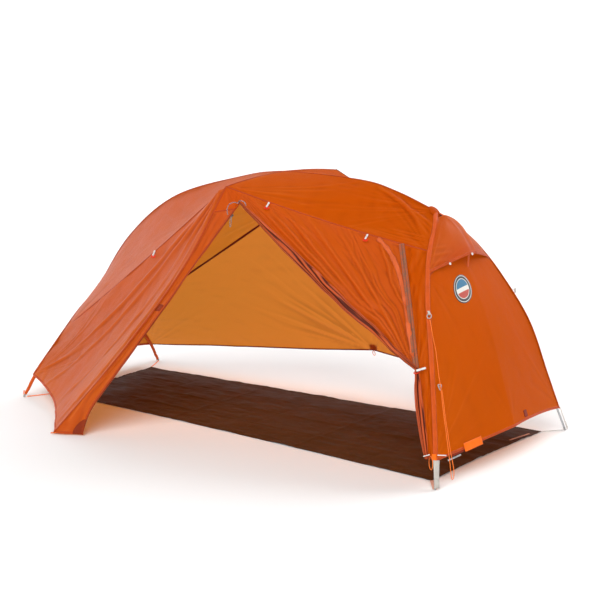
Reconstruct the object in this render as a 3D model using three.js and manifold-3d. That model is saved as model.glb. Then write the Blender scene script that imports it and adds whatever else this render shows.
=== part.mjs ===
// A one-person backpacking tent pitched fly-first: a hubbed spine pole with two legs at each end,
// a short brow pole across it, the rainfly sewn from panels, and the footprint that it stands on.
// Millimetres. X runs from the foot end to the head end, the door is on the -Y side, Z is up, and
// the origin is on the ground under the middle of the footprint.
import * as THREE from 'three';
import { mergeVertices } from 'three/addons/utils/BufferGeometryUtils.js';
import Module from 'manifold-3d';

const wasm = await Module();
wasm.setup();

const vec = (x, y, z) => new THREE.Vector3(x, y, z);
const NEAR = -1;
const FAR = 1;
const SIDES = [['near', NEAR], ['far', FAR]];

// ---- Driving dimensions: cloth and poles -----------------------------------------------------
const CLOTH = 1.2; // modelled thickness of a coated panel
const SEAM = 1.6; // what each panel stops short of a seam line
const POLE_DEPTH = 10; // a pole's centre line lies this far inside the cloth that it carries
const POLE_RADIUS = 4.5;
const POLE_BORE = 3.9;
const POLE_SIDES = 10;
const FERRULE_RADIUS = 3.2;
const FERRULE_LENGTH = 90;
const SOCKET_RADIUS = 6.6;
const SOCKET_BORE = 5;
const SOCKET_LENGTH = 26;
const HUB_CLEAR = 10; // a pole's end stops this far from the middle of its hub
const TIP_BALL = 5;

// ---- Driving dimensions: the lines that the cloth hangs on -------------------------------------
// The spine line of the fly in the middle plane, from the foot hub over the brow to the head hub.
const SPINE_LINE = [
  vec(-1152, 0, 462),
  vec(-922, 0, 752),
  vec(-628, 0, 965),
  vec(-233, 0, 1084),
  vec(20, 0, 1124),
  vec(428, 0, 1117),
  vec(619, 0, 1081),
  vec(820, 0, 1012),
];
// The far head leg, from the hub round its pre-bent elbow down to the ground. The near one mirrors it.
const HEAD_LEG_LINE = [
  vec(820, 0, 1012),
  vec(866, 82, 950),
  vec(914, 200, 850),
  vec(979, 307, 700),
  vec(1059, 403, 500),
  vec(1121, 470, 255),
  vec(1182, 545, 0),
];
const FOOT_LEG_LINE = [
  vec(-1152, 0, 462),
  vec(-1149, 125, 383),
  vec(-1150, 229, 300),
  vec(-1165, 328, 200),
  vec(-1182, 422, 98),
  vec(-1194, 486, 0),
];
const BROW_X = 20;
const BROW_HALF = 407;
const BROW_TOP = 1124;
const BROW_DROP = 28; // how much lower each end of the brow is than its middle

const ELBOW_HEIGHT = 872; // the eave seam meets the head leg here
const VENT_HEIGHT = 790; // the hood's lower edge leaves the head leg here
const VENT_GAP = 10; // clear height between the hood's corner and the wall's corner on the leg
const FOOT_SEAM_HEIGHT = 300; // the long foot seam meets the foot leg here
const HEAD_HEM_HEIGHT = 105;
const FOOT_HEM_HEIGHT = 100;
const FAR_HEM_PULL = vec(90, 620, 200); // the pull-out in the middle of the far hem
const HEAD_HEM_MIDDLE = vec(1222, 0, 143);
const HOOD_LIP = vec(998, 0, 848); // the middle of the hood's lower edge
const WALL_TOP = vec(940, 0, 864); // the middle of the end wall's upper edge, behind the hood
const LIP_BEND = 1.25; // 1 would hang the hood's lip in two straight halves, 2 in a round arch
const WALL_BEND = 1.8; // the same for the end wall's upper edge

// ---- Driving dimensions: the door side -------------------------------------------------------
const STAKE_CORNER = vec(-600, -864, 6);
const DOOR_CORNER = vec(-474, -808, 6);
const ZIP_TOP = vec(64, -400, 1000);
const ZIP_LOW = vec(-428, -760, 163); // the zip runs straight from its top to here
const TIE_BACK = vec(1026, -452, 439);
const LEG_PANEL_HEM = vec(1126, -522, 122); // the leg panel's free corner at the hem
const ROLL_TOP = vec(104, -418, 1030);
const EDGE_ZIP_START = 785; // the zip beside the head leg begins on the eave seam at this X
const DOOR_SEAM_START = 90; // the door hangs from the eave seam from this X on

// ---- Driving dimensions: how the cloth sags and swells ---------------------------------------
const EAVE_SAG = vec(0, -12, -16); // for the far side; the near one mirrors it
const FOOT_SEAM_SAG = vec(0, 0, -10);
const ROOF_SWELL = vec(0, 0, -6);
const FOOT_ROOF_SWELL = vec(6, 0, -8);
const FAR_HEM_FOOT_SAG = vec(0, -14, 4);
const FAR_HEM_HEAD_SAG = vec(0, -14, 12);
const VESTIBULE_HEM_SAG = vec(26, 38, 6);
const VESTIBULE_SWELL = vec(10, 16, 0);
const ROLL_SAG = vec(0, 0, -22);
const LEG_PANEL_EDGE_SAG = vec(4, -6, 0);
const HOOD_START_SAG = vec(3, 0, 6);
const HOOD_SWELL = vec(8, 0, 10);
const FAR_END_HEM_RISE = 40;
const FOOT_WALL_TOP_SAG = vec(-2, 0, 4);
const FOOT_WALL_HEM_SAG = vec(0, 0, 24);

// ---- Driving dimensions: the footprint and the small parts -----------------------------------
const FOOTPRINT_HALF_LENGTH = 1105;
const FOOTPRINT_HEAD_HALF = 452;
const FOOTPRINT_FOOT_HALF = 335;
const FOOTPRINT_INLET = 14; // how far each edge curves in between its corners
const FOOTPRINT_THICKNESS = 1;
const WEBBING = 1.6;
const STRAP_WIDTH = 22;
const STRAP_FOOT_HEIGHT = 9; // the corner webbing ends this far above the ground
const TOGGLE_LENGTH = 22;
const TOGGLE_RADIUS = 3;
const TOGGLE_LOOP = 8;
const TOGGLE_STAND_OFF = 7;
const RING_RADIUS = 9;
const RING_WIRE = 1.8;
const RING_HEIGHT = 642;
const RING_STAND_OFF = 12;
const CORD_RADIUS = 1.5;
const ZIP_START = 30; // the parked slider is this far down the zip
const PULL_LENGTH = 46;
const PULL_HANG_OUT = 1.6;
const SADDLE = vec(30, 18, 15.6);
const SPINE_DIP = 10; // how much the spine drops to pass under the brow pole
const SPINE_DIP_REACH = 260;

// ---- Materials -------------------------------------------------------------------------------
const finish = (color, roughness, metalness = 0) =>
  () => new THREE.MeshStandardMaterial({ color, roughness, metalness });
const flyCloth = finish(0xd06a2c, 0.5);
const footprintCloth = finish(0x54341f, 0.7);
const anodised = finish(0xb8bcc0, 0.35, 0.9);
const hubPlastic = finish(0x3a3c3f, 0.5);
const greyWebbing = finish(0xbdb8b0, 0.8);
const greyPlastic = finish(0xa8a6a2, 0.5);
const orangeCord = finish(0xe6782a, 0.8);
const zipTape = finish(0x6a4a3c, 0.8);

const tent = new THREE.Group();

function add(name, geometry, makeMaterial) {
  const mesh = new THREE.Mesh(geometry, makeMaterial());
  mesh.name = name;
  tent.add(mesh);
  return mesh;
}

// ---- Curves ------------------------------------------------------------------------------------
const smooth = (points) => new THREE.CatmullRomCurve3(points, false, 'catmullrom', 0.5);
const mirrored = (points, side) => points.map((p) => vec(p.x, p.y * side, p.z));

// The parameter at which a curve that only falls (or only rises) passes a height.
function atHeight(curve, height) {
  const falls = curve.getPoint(0).z > curve.getPoint(1).z;
  let low = 0;
  let high = 1;
  for (let i = 0; i < 40; i += 1) {
    const middle = (low + high) / 2;
    const past = falls ? curve.getPoint(middle).z < height : curve.getPoint(middle).z > height;
    if (past) high = middle;
    else low = middle;
  }
  return (low + high) / 2;
}

function atX(curve, x) {
  let low = 0;
  let high = 1;
  for (let i = 0; i < 40; i += 1) {
    const middle = (low + high) / 2;
    if (curve.getPoint(middle).x > x) high = middle;
    else low = middle;
  }
  return (low + high) / 2;
}

// A stretch of a curve as a function of 0 to 1.
const stretch = (curve, from, to) => (t) => curve.getPoint(from + (to - from) * t);
const straight = (a, b) => (t) => a.clone().lerp(b, t);

// A line between two points that sags by `sag`, most in the middle.
const slack = (a, b, sag) => (t) => a.clone().lerp(b, t).add(sag.clone().multiplyScalar(4 * t * (1 - t)));

const spineSkin = smooth(SPINE_LINE);
const legSkin = {};
const footLegSkin = {};
for (const [, side] of SIDES) {
  legSkin[side] = smooth(mirrored(HEAD_LEG_LINE, side));
  footLegSkin[side] = smooth(mirrored(FOOT_LEG_LINE, side));
}
const browSkin = (side) => (t) => vec(BROW_X, side * BROW_HALF * t, BROW_TOP - BROW_DROP * t * t);
const browEnd = (side) => browSkin(side)(1);

// A curve moved `depth` towards the inside of the tent, square to its own direction.
function inside(curve, heart, depth, count) {
  const points = [];
  for (let i = 0; i <= count; i += 1) {
    const t = i / count;
    const p = curve.getPoint(t);
    const along = curve.getTangent(t);
    const inward = heart.clone().sub(p);
    inward.addScaledVector(along, -inward.dot(along)).normalize();
    points.push(p.addScaledVector(inward, depth));
  }
  return points;
}

// ---- Solids ------------------------------------------------------------------------------------
function ringSection(outer, inner, sides) {
  const circle = (radius, path) => {
    for (let i = 0; i < sides; i += 1) {
      const angle = (2 * Math.PI * i) / sides;
      const x = radius * Math.cos(angle);
      const y = radius * Math.sin(angle);
      if (i === 0) path.moveTo(x, y);
      else path.lineTo(x, y);
    }
    path.closePath();
    return path;
  };
  const shape = circle(outer, new THREE.Shape());
  if (inner > 0) shape.holes.push(circle(inner, new THREE.Path()));
  return shape;
}

// A tube or rod along part of a curve, measured as lengths from the curve's start.
function tube(curve, from, to, outer, inner, steps, sides = POLE_SIDES) {
  const length = curve.getLength();
  const points = [];
  for (let i = 0; i <= steps; i += 1) {
    points.push(curve.getPointAt((from + ((to - from) * i) / steps) / length));
  }
  return new THREE.ExtrudeGeometry(ringSection(outer, inner, sides), {
    steps,
    bevelEnabled: false,
    extrudePath: smooth(points),
  });
}

// A closed thin solid over a grid of points, half its thickness on each side of them.
function sheet(rows, thickness = CLOTH) {
  const height = rows.length;
  const width = rows[0].length;
  const normals = rows.map((row, i) => row.map((_, j) => {
    const along = row[Math.min(j + 1, width - 1)].clone().sub(row[Math.max(j - 1, 0)]);
    const across = rows[Math.min(i + 1, height - 1)][j].clone().sub(rows[Math.max(i - 1, 0)][j]);
    return along.cross(across).normalize();
  }));
  const positions = [];
  for (const lift of [thickness / 2, -thickness / 2]) {
    for (let i = 0; i < height; i += 1) {
      for (let j = 0; j < width; j += 1) {
        positions.push(...rows[i][j].clone().addScaledVector(normals[i][j], lift).toArray());
      }
    }
  }
  const top = (i, j) => i * width + j;
  const bottom = (i, j) => height * width + i * width + j;
  const faces = [];
  const quad = (a, b, c, d) => faces.push(a, b, c, a, c, d);
  for (let i = 0; i + 1 < height; i += 1) {
    for (let j = 0; j + 1 < width; j += 1) {
      quad(top(i, j), top(i, j + 1), top(i + 1, j + 1), top(i + 1, j));
      quad(bottom(i, j), bottom(i + 1, j), bottom(i + 1, j + 1), bottom(i, j + 1));
    }
  }
  const border = [];
  for (let j = 0; j + 1 < width; j += 1) border.push([0, j]);
  for (let i = 0; i + 1 < height; i += 1) border.push([i, width - 1]);
  for (let j = width - 1; j > 0; j -= 1) border.push([height - 1, j]);
  for (let i = height - 1; i > 0; i -= 1) border.push([i, 0]);
  border.forEach(([i, j], k) => {
    const [m, n] = border[(k + 1) % border.length];
    quad(top(m, n), top(i, j), bottom(i, j), bottom(m, n));
  });
  const geometry = new THREE.BufferGeometry();
  geometry.setAttribute('position', new THREE.Float32BufferAttribute(positions, 3));
  geometry.setIndex(faces);
  geometry.computeVertexNormals();
  return geometry;
}

const SPAN_STEPS = 6;

// The panel spanned by four edges. `start` and `end` run the same way as v, `low` and `high` as u.
// The panel stops `margin` short of each edge, and swells by `swell` in its middle.
function panel(low, high, start, end, options = {}) {
  const { across = 8, down = 6, margin = SEAM, swell = vec(0, 0, 0) } = options;
  const point = (u, v) => {
    const corners = low(0).multiplyScalar((1 - u) * (1 - v))
      .addScaledVector(low(1), u * (1 - v))
      .addScaledVector(high(0), (1 - u) * v)
      .addScaledVector(high(1), u * v);
    return low(u).multiplyScalar(1 - v)
      .addScaledVector(high(u), v)
      .addScaledVector(start(v), 1 - u)
      .addScaledVector(end(v), u)
      .sub(corners)
      .addScaledVector(swell, 16 * u * (1 - u) * v * (1 - v));
  };
  const span = (make) => {
    let length = 0;
    for (let i = 0; i < SPAN_STEPS; i += 1) {
      length += make(i / SPAN_STEPS).distanceTo(make((i + 1) / SPAN_STEPS));
    }
    return length;
  };
  const rows = [];
  for (let i = 0; i <= down; i += 1) {
    const row = [];
    for (let j = 0; j <= across; j += 1) {
      const u = j / across;
      const v = i / down;
      const insetU = Math.min(0.3, margin / span((t) => point(t, v)));
      const insetV = Math.min(0.3, margin / span((t) => point(u, t)));
      row.push(point(insetU + u * (1 - 2 * insetU), insetV + v * (1 - 2 * insetV)));
    }
    rows.push(row);
  }
  return rows;
}

// ---- Booleans for the hubs and tips --------------------------------------------------------------
function toSolid(geometry, matrix = new THREE.Matrix4()) {
  const bare = geometry.clone().applyMatrix4(matrix);
  bare.deleteAttribute('normal');
  bare.deleteAttribute('uv');
  const merged = mergeVertices(bare, 1e-4);
  return new wasm.Manifold(new wasm.Mesh({
    numProp: 3,
    vertProperties: new Float32Array(merged.attributes.position.array),
    triVerts: new Uint32Array(merged.index.array),
  }));
}

function toGeometry(solid) {
  const mesh = solid.getMesh();
  const geometry = new THREE.BufferGeometry();
  geometry.setAttribute('position', new THREE.BufferAttribute(mesh.vertProperties, 3));
  geometry.setIndex(new THREE.BufferAttribute(mesh.triVerts, 1));
  geometry.computeVertexNormals();
  return geometry;
}

// The matrix that turns +Y to `along` and moves the origin to `at`.
function aim(at, along) {
  const turn = new THREE.Quaternion().setFromUnitVectors(vec(0, 1, 0), along.clone().normalize());
  return new THREE.Matrix4().compose(at, turn, vec(1, 1, 1));
}

function rod(at, along, length, radius, sides = 12) {
  const geometry = new THREE.CylinderGeometry(radius, radius, length, sides);
  const middle = at.clone().addScaledVector(along, length / 2);
  return toSolid(geometry, aim(middle, along));
}

// A hub: a short boss with one socket for each pole that meets in it.
function hub(middle, directions) {
  let body = toSolid(new THREE.SphereGeometry(SOCKET_RADIUS + 1.6, 12, 8),
    new THREE.Matrix4().makeTranslation(middle.x, middle.y, middle.z));
  for (const along of directions) {
    body = body.add(rod(middle, along, HUB_CLEAR + SOCKET_LENGTH, SOCKET_RADIUS));
  }
  for (const along of directions) {
    const mouth = middle.clone().addScaledVector(along, HUB_CLEAR - 1);
    body = body.subtract(rod(mouth, along, SOCKET_LENGTH + 4, SOCKET_BORE));
  }
  return toGeometry(body);
}

// ---- The pole set ----------------------------------------------------------------------------
const HEART = vec(0, 0, 300);
const spinePoints = inside(spineSkin, HEART, POLE_DEPTH, 14);
const headHub = spinePoints[spinePoints.length - 1];
const footHub = spinePoints[0];
// Under the brow the spine runs a pole's width lower, because the brow pole crosses over it.
for (const p of spinePoints) {
  p.z -= SPINE_DIP * Math.exp(-(((p.x - BROW_X) / SPINE_DIP_REACH) ** 2));
}
const spinePole = smooth(spinePoints);

function legPole(skin, hubPoint, heart) {
  const points = inside(skin, heart, POLE_DEPTH, 12);
  points[0] = hubPoint.clone();
  const tip = points[points.length - 1];
  tip.z = TIP_BALL;
  return smooth(points);
}

const headLegPole = {};
const footLegPole = {};
for (const [, side] of SIDES) {
  headLegPole[side] = legPole(legSkin[side], headHub, vec(400, 0, 250));
  footLegPole[side] = legPole(footLegSkin[side], footHub, vec(-600, 0, 150));
}

const startOf = (curve) => curve.getTangent(0);
const endOf = (curve) => curve.getTangent(1).negate();
add('head_hub', hub(headHub, [endOf(spinePole), startOf(headLegPole[NEAR]), startOf(headLegPole[FAR])]),
  hubPlastic);
add('foot_hub', hub(footHub, [startOf(spinePole), startOf(footLegPole[NEAR]), startOf(footLegPole[FAR])]),
  hubPlastic);

// Sections of a pole that plug together end to end, each pair joined by a ferrule inside.
function poleSections(curve, names, ferruleNames, from, to, steps) {
  const each = (to - from) / names.length;
  names.forEach((name, i) => {
    const start = from + each * i + (i > 0 ? 0.4 : 0);
    const end = from + each * (i + 1) - (i + 1 < names.length ? 0.4 : 0);
    add(name, tube(curve, start, end, POLE_RADIUS, POLE_BORE, steps), anodised);
  });
  ferruleNames.forEach((name, i) => {
    const joint = from + each * (i + 1);
    const half = FERRULE_LENGTH / 2;
    add(name, tube(curve, joint - half, joint + half, FERRULE_RADIUS, 0, 3, 8), anodised);
  });
}

poleSections(
  spinePole,
  [1, 2, 3, 4].map((n) => `spine_section_${n}`),
  [1, 2, 3].map((n) => `spine_ferrule_${n}`),
  HUB_CLEAR,
  spinePole.getLength() - HUB_CLEAR,
  8,
);
for (const [word, side] of SIDES) {
  const leg = headLegPole[side];
  poleSections(
    leg,
    [`head_leg_upper_${word}`, `head_leg_lower_${word}`],
    [`head_leg_ferrule_${word}`],
    HUB_CLEAR,
    leg.getLength() - TIP_BALL - 2,
    9,
  );
  const foot = footLegPole[side];
  add(`foot_leg_${word}`,
    tube(foot, HUB_CLEAR, foot.getLength() - TIP_BALL - 2, POLE_RADIUS, POLE_BORE, 9), anodised);
}

// The ball and shank that plug into the low end of each leg.
function poleTip(curve) {
  const ball = curve.getPoint(1);
  const up = endOf(curve);
  const round = toSolid(new THREE.SphereGeometry(TIP_BALL, 12, 8),
    new THREE.Matrix4().makeTranslation(ball.x, ball.y, ball.z));
  return toGeometry(round.add(rod(ball, up, 22, 2.6)));
}
for (const [word, side] of SIDES) {
  add(`pole_tip_head_${word}`, poleTip(headLegPole[side]), greyPlastic);
  add(`pole_tip_foot_${word}`, poleTip(footLegPole[side]), greyPlastic);
}

// The brow pole lies over the spine, in two sections, with a capped end in each eave.
const browPoints = [];
for (let i = -6; i <= 6; i += 1) {
  const t = i / 6;
  const p = browSkin(Math.sign(t) || 1)(Math.abs(t));
  browPoints.push(vec(p.x, p.y, p.z - POLE_DEPTH));
}
const browPole = smooth(browPoints);
const browLength = browPole.getLength();
const BROW_END_CLEAR = 16;
poleSections(browPole, ['brow_section_near', 'brow_section_far'], ['brow_ferrule'],
  BROW_END_CLEAR, browLength - BROW_END_CLEAR, 5);
for (const [word, side] of SIDES) {
  const end = browPole.getPoint(side === NEAR ? 0 : 1);
  const inward = side === NEAR ? startOf(browPole) : endOf(browPole);
  const start = end.clone().addScaledVector(inward, 3);
  const cap = rod(start, inward, BROW_END_CLEAR - 3.4, POLE_RADIUS + 0.6).add(rod(start, inward, 30, 3));
  add(`brow_tip_${word}`, toGeometry(cap), greyPlastic);
}

// The saddle that holds the brow pole on the spine: a block with a groove for each pole.
const spineAtBrow = spinePole.getPoint(atX(spinePole, BROW_X));
const browMiddle = browPole.getPoint(0.5);
const saddleMiddle = spineAtBrow.clone().add(browMiddle).multiplyScalar(0.5);
const saddleBlock = toSolid(new THREE.BoxGeometry(SADDLE.x, SADDLE.y, SADDLE.z),
  new THREE.Matrix4().makeTranslation(saddleMiddle.x, saddleMiddle.y, saddleMiddle.z));
const saddle = saddleBlock
  .subtract(rod(vec(BROW_X - 40, 0, spineAtBrow.z), vec(1, 0, 0), 80, SOCKET_BORE + 0.5))
  .subtract(rod(vec(BROW_X, -40, browMiddle.z), vec(0, 1, 0), 80, SOCKET_BORE + 0.5));
const saddleParts = saddle.decompose();
saddleParts.sort((a, b) => b.volume() - a.volume());
add('brow_saddle', toGeometry(saddleParts[0]), hubPlastic);

// ---- The fly -----------------------------------------------------------------------------------
const spineAtBrowSkin = atX(spineSkin, BROW_X);
const eaveSeam = {}; // from the brow's end to the head leg
const footSeam = {}; // from the foot leg to the brow's end
const legAt = (side, height) => atHeight(legSkin[side], height);
const footLegAt = (side, height) => atHeight(footLegSkin[side], height);
for (const [, side] of SIDES) {
  const elbow = legSkin[side].getPoint(legAt(side, ELBOW_HEIGHT));
  eaveSeam[side] = slack(browEnd(side), elbow, vec(0, EAVE_SAG.y * side, EAVE_SAG.z));
  const low = footLegSkin[side].getPoint(footLegAt(side, FOOT_SEAM_HEIGHT));
  footSeam[side] = slack(low, browEnd(side), FOOT_SEAM_SAG);
}

// A near panel is the mirror of a far one, with its rows turned over so that it still faces out.
const facing = (rows, side) => (side === FAR ? rows.map((row) => [...row].reverse()) : rows);

for (const [word, side] of SIDES) {
  const roof = panel(
    stretch(spineSkin, spineAtBrowSkin, 1),
    eaveSeam[side],
    browSkin(side),
    stretch(legSkin[side], 0, legAt(side, ELBOW_HEIGHT)),
    { across: 9, down: 5, swell: ROOF_SWELL },
  );
  add(`fly_roof_${word}`, sheet(facing(roof, -side)), flyCloth);
  const footRoof = panel(
    stretch(spineSkin, 0, spineAtBrowSkin),
    footSeam[side],
    stretch(footLegSkin[side], 0, footLegAt(side, FOOT_SEAM_HEIGHT)),
    browSkin(side),
    { across: 12, down: 5, swell: FOOT_ROOF_SWELL },
  );
  add(`fly_foot_roof_${word}`, sheet(facing(footRoof, -side)), flyCloth);
}

const footHem = (side) => footLegSkin[side].getPoint(footLegAt(side, FOOT_HEM_HEIGHT));
const headHem = (side) => legSkin[side].getPoint(legAt(side, HEAD_HEM_HEIGHT));

// The closed far side hangs from both seams, and its hem is pulled out at the middle.
const farTop = (u) => (u < 0.5 ? footSeam[FAR](2 * u) : eaveSeam[FAR](2 * u - 1));
const farHemFoot = slack(footHem(FAR), FAR_HEM_PULL, FAR_HEM_FOOT_SAG);
const farHemHead = slack(FAR_HEM_PULL, headHem(FAR), FAR_HEM_HEAD_SAG);
const farSide = panel(
  farTop,
  (u) => (u < 0.5 ? farHemFoot(2 * u) : farHemHead(2 * u - 1)),
  stretch(footLegSkin[FAR], footLegAt(FAR, FOOT_SEAM_HEIGHT), footLegAt(FAR, FOOT_HEM_HEIGHT)),
  stretch(legSkin[FAR], legAt(FAR, ELBOW_HEIGHT), legAt(FAR, HEAD_HEM_HEIGHT)),
  { across: 16, down: 8 },
);
add('fly_side_far', sheet(facing(farSide, NEAR)), flyCloth);

// The near vestibule is drawn out to its stake, and the door begins at the fold on its front.
const fold = smooth([browEnd(NEAR), vec(-125, -514, 756), vec(-340, -672, 389), STAKE_CORNER]);
const vestibuleHem = slack(footHem(NEAR), STAKE_CORNER, VESTIBULE_HEM_SAG);
const vestibule = panel(
  footSeam[NEAR],
  vestibuleHem,
  stretch(footLegSkin[NEAR], footLegAt(NEAR, FOOT_SEAM_HEIGHT), footLegAt(NEAR, FOOT_HEM_HEIGHT)),
  stretch(fold, 0, 1),
  { across: 10, down: 9, swell: VESTIBULE_SWELL },
);
add('fly_vestibule', sheet(facing(vestibule, FAR)), flyCloth);

// The strip of door between the fold and the zip, whose edge is straight down to its last turn.
const zipEdge = new THREE.CurvePath();
zipEdge.add(new THREE.LineCurve3(ZIP_TOP, ZIP_LOW));
zipEdge.add(new THREE.QuadraticBezierCurve3(ZIP_LOW, vec(-468, -790, 95), DOOR_CORNER));
const foldFrom = 0.11; // the door begins this far down the fold, clear of the brow's end
const doorStrip = panel(
  stretch(fold, foldFrom, 1),
  (t) => zipEdge.getPointAt(t),
  straight(fold.getPoint(foldFrom), ZIP_TOP),
  straight(STAKE_CORNER, DOOR_CORNER),
  { across: 14, down: 2, margin: 2.4 },
);
add('door_strip', sheet(facing(doorStrip, FAR)), flyCloth);

// The rest of the door is gathered to the tie-back on the head leg.
const eaveAt = (x) => (x - BROW_X) / (eaveSeam[NEAR](1).x - BROW_X);
const eaveFrom = (a, b) => (t) => eaveSeam[NEAR](a + (b - a) * t);
const edgeZipStart = eaveSeam[NEAR](eaveAt(EDGE_ZIP_START));
const edgeZip = smooth([edgeZipStart, vec(904, -328, 690), TIE_BACK]);
const door = panel(
  eaveFrom(eaveAt(DOOR_SEAM_START), eaveAt(EDGE_ZIP_START)),
  slack(ROLL_TOP, TIE_BACK, ROLL_SAG),
  straight(eaveSeam[NEAR](eaveAt(DOOR_SEAM_START)), ROLL_TOP),
  stretch(edgeZip, 0, 1),
  { across: 10, down: 5, margin: 2.4 },
);
add('door_gathered', sheet(facing(door, NEAR)), flyCloth);

const ZIPPED_SHARE = 0.55; // how much of the leg panel's edge lies above the tie-back
const legPanelEdge = slack(TIE_BACK, LEG_PANEL_HEM, LEG_PANEL_EDGE_SAG);
const legPanel = panel(
  (t) => (t < ZIPPED_SHARE
    ? edgeZip.getPoint(t / ZIPPED_SHARE)
    : legPanelEdge((t - ZIPPED_SHARE) / (1 - ZIPPED_SHARE))),
  stretch(legSkin[NEAR], legAt(NEAR, ELBOW_HEIGHT), legAt(NEAR, HEAD_HEM_HEIGHT)),
  eaveFrom(eaveAt(EDGE_ZIP_START), 1),
  straight(LEG_PANEL_HEM, headHem(NEAR)),
  { across: 12, down: 2, margin: 2 },
);
add('fly_leg_panel_near', sheet(facing(legPanel, NEAR)), flyCloth);

// The vent hood spans the elbows, and the end wall starts behind its lip.
const ventFrom = 0.08; // the hood starts this far along the legs, clear of the hub
const ventTo = legAt(FAR, VENT_HEIGHT);
const archRise = (t, bend) => 1 - Math.abs(2 * t - 1) ** bend;
const hoodLip = (t) => {
  const rise = archRise(t, LIP_BEND);
  const corner = legSkin[FAR].getPoint(ventTo);
  return vec(
    corner.x + (HOOD_LIP.x - corner.x) * rise,
    corner.y * (2 * t - 1),
    corner.z + (HOOD_LIP.z - corner.z) * rise,
  );
};
const hood = panel(
  slack(legSkin[NEAR].getPoint(ventFrom), legSkin[FAR].getPoint(ventFrom), HOOD_START_SAG),
  hoodLip,
  stretch(legSkin[NEAR], ventFrom, ventTo),
  stretch(legSkin[FAR], ventFrom, ventTo),
  { across: 8, down: 4, swell: HOOD_SWELL },
);
add('fly_vent_hood', sheet(facing(hood, NEAR)), flyCloth);

const wallFrom = legAt(FAR, VENT_HEIGHT - VENT_GAP);
const wallTop = (t) => {
  const rise = archRise(t, WALL_BEND);
  const corner = legSkin[FAR].getPoint(wallFrom);
  return vec(
    corner.x + (WALL_TOP.x - corner.x) * rise,
    corner.y * (2 * t - 1),
    corner.z + (WALL_TOP.z - corner.z) * rise,
  );
};
const headHemLine = (t) => {
  const side = t < 0.5 ? NEAR : FAR;
  const out = Math.abs(2 * t - 1);
  const rise = side === FAR ? FAR_END_HEM_RISE * out * (1 - out) : 0;
  return HEAD_HEM_MIDDLE.clone().lerp(headHem(side), out).add(vec(0, 0, rise));
};
const headWall = panel(
  wallTop,
  headHemLine,
  stretch(legSkin[NEAR], wallFrom, legAt(NEAR, HEAD_HEM_HEIGHT)),
  stretch(legSkin[FAR], wallFrom, legAt(FAR, HEAD_HEM_HEIGHT)),
  { across: 10, down: 8 },
);
add('fly_head_wall', sheet(facing(headWall, NEAR)), flyCloth);

const footFrom = 0.07; // the wall starts this far along the legs, clear of the hub
const footWall = panel(
  slack(footLegSkin[FAR].getPoint(footFrom), footLegSkin[NEAR].getPoint(footFrom), FOOT_WALL_TOP_SAG),
  slack(footHem(FAR), footHem(NEAR), FOOT_WALL_HEM_SAG),
  stretch(footLegSkin[FAR], footFrom, footLegAt(FAR, FOOT_HEM_HEIGHT)),
  stretch(footLegSkin[NEAR], footFrom, footLegAt(NEAR, FOOT_HEM_HEIGHT)),
  { across: 8, down: 6 },
);
add('fly_foot_wall', sheet(facing(footWall, NEAR)), flyCloth);

// ---- The footprint and the corner webbing --------------------------------------------------------
function footprintOutline() {
  const head = FOOTPRINT_HALF_LENGTH;
  const shape = new THREE.Shape();
  shape.moveTo(head, -FOOTPRINT_HEAD_HALF);
  shape.quadraticCurveTo(head - 2 * FOOTPRINT_INLET, 0, head, FOOTPRINT_HEAD_HALF);
  const middle = (FOOTPRINT_HEAD_HALF + FOOTPRINT_FOOT_HALF) / 2 - 2 * FOOTPRINT_INLET;
  shape.quadraticCurveTo(0, middle, -head, FOOTPRINT_FOOT_HALF);
  shape.quadraticCurveTo(-head + 2 * FOOTPRINT_INLET, 0, -head, -FOOTPRINT_FOOT_HALF);
  shape.quadraticCurveTo(0, -middle, head, -FOOTPRINT_HEAD_HALF);
  return shape;
}
add('footprint', new THREE.ExtrudeGeometry(footprintOutline(),
  { depth: FOOTPRINT_THICKNESS, bevelEnabled: false, curveSegments: 8 }), footprintCloth);

// A flat strap along a curve, with its width along `across`.
function strap(points, across, width, thickness = WEBBING) {
  const half = across.clone().normalize().multiplyScalar(width / 2);
  return sheet([
    points.map((p) => p.clone().sub(half)),
    points.map((p) => p.clone().add(half)),
  ], thickness);
}

const corners = [
  ['head', legSkin, FOOTPRINT_HALF_LENGTH, FOOTPRINT_HEAD_HALF, HEAD_HEM_HEIGHT],
  ['foot', footLegSkin, -FOOTPRINT_HALF_LENGTH, FOOTPRINT_FOOT_HALF, FOOT_HEM_HEIGHT],
];
for (const [end, skins, printX, printY, hem] of corners) {
  for (const [word, side] of SIDES) {
    const skin = skins[side];
    const t = atHeight(skin, hem - 6);
    const along = skin.getTangent(t);
    const out = vec(printX, side * printY, 0).normalize();
    const across = along.clone().cross(out);
    const low = atHeight(skin, STRAP_FOOT_HEIGHT);
    const drop = [0, 0.5, 1].map((k) => skin.getPoint(t + (low - t) * k).addScaledVector(out, 3));
    add(`corner_strap_${end}_${word}`, strap(drop, across, STRAP_WIDTH), greyWebbing);
    const from = vec(printX, side * printY, 0);
    const toTip = skin.getPoint(1).sub(from).setZ(0);
    const reach = toTip.length();
    toTip.normalize();
    const lift = WEBBING / 2;
    const line = [6, reach - 22].map((d) => from.clone().addScaledVector(toTip, d).setZ(lift));
    const wide = vec(0, 0, 1).cross(toTip);
    add(`footprint_strap_${end}_${word}`, strap(line, wide, 16), greyWebbing);
  }
}

// ---- Zips, toggles and rings -------------------------------------------------------------------
// Outward from the door strip, square to its zip edge.
const zipAlong = ZIP_LOW.clone().sub(ZIP_TOP).normalize();
const stripAcross = fold.getPoint(0.5).sub(ZIP_TOP.clone().lerp(ZIP_LOW, 0.5)).normalize();
const stripOut = stripAcross.clone().cross(zipAlong).normalize();
if (stripOut.y > 0) stripOut.negate();
const stripSide = zipAlong.clone().cross(stripOut).normalize();
const inFrame = (x, y, z, at) => new THREE.Matrix4().makeBasis(x, y, z).setPosition(at);

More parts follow.
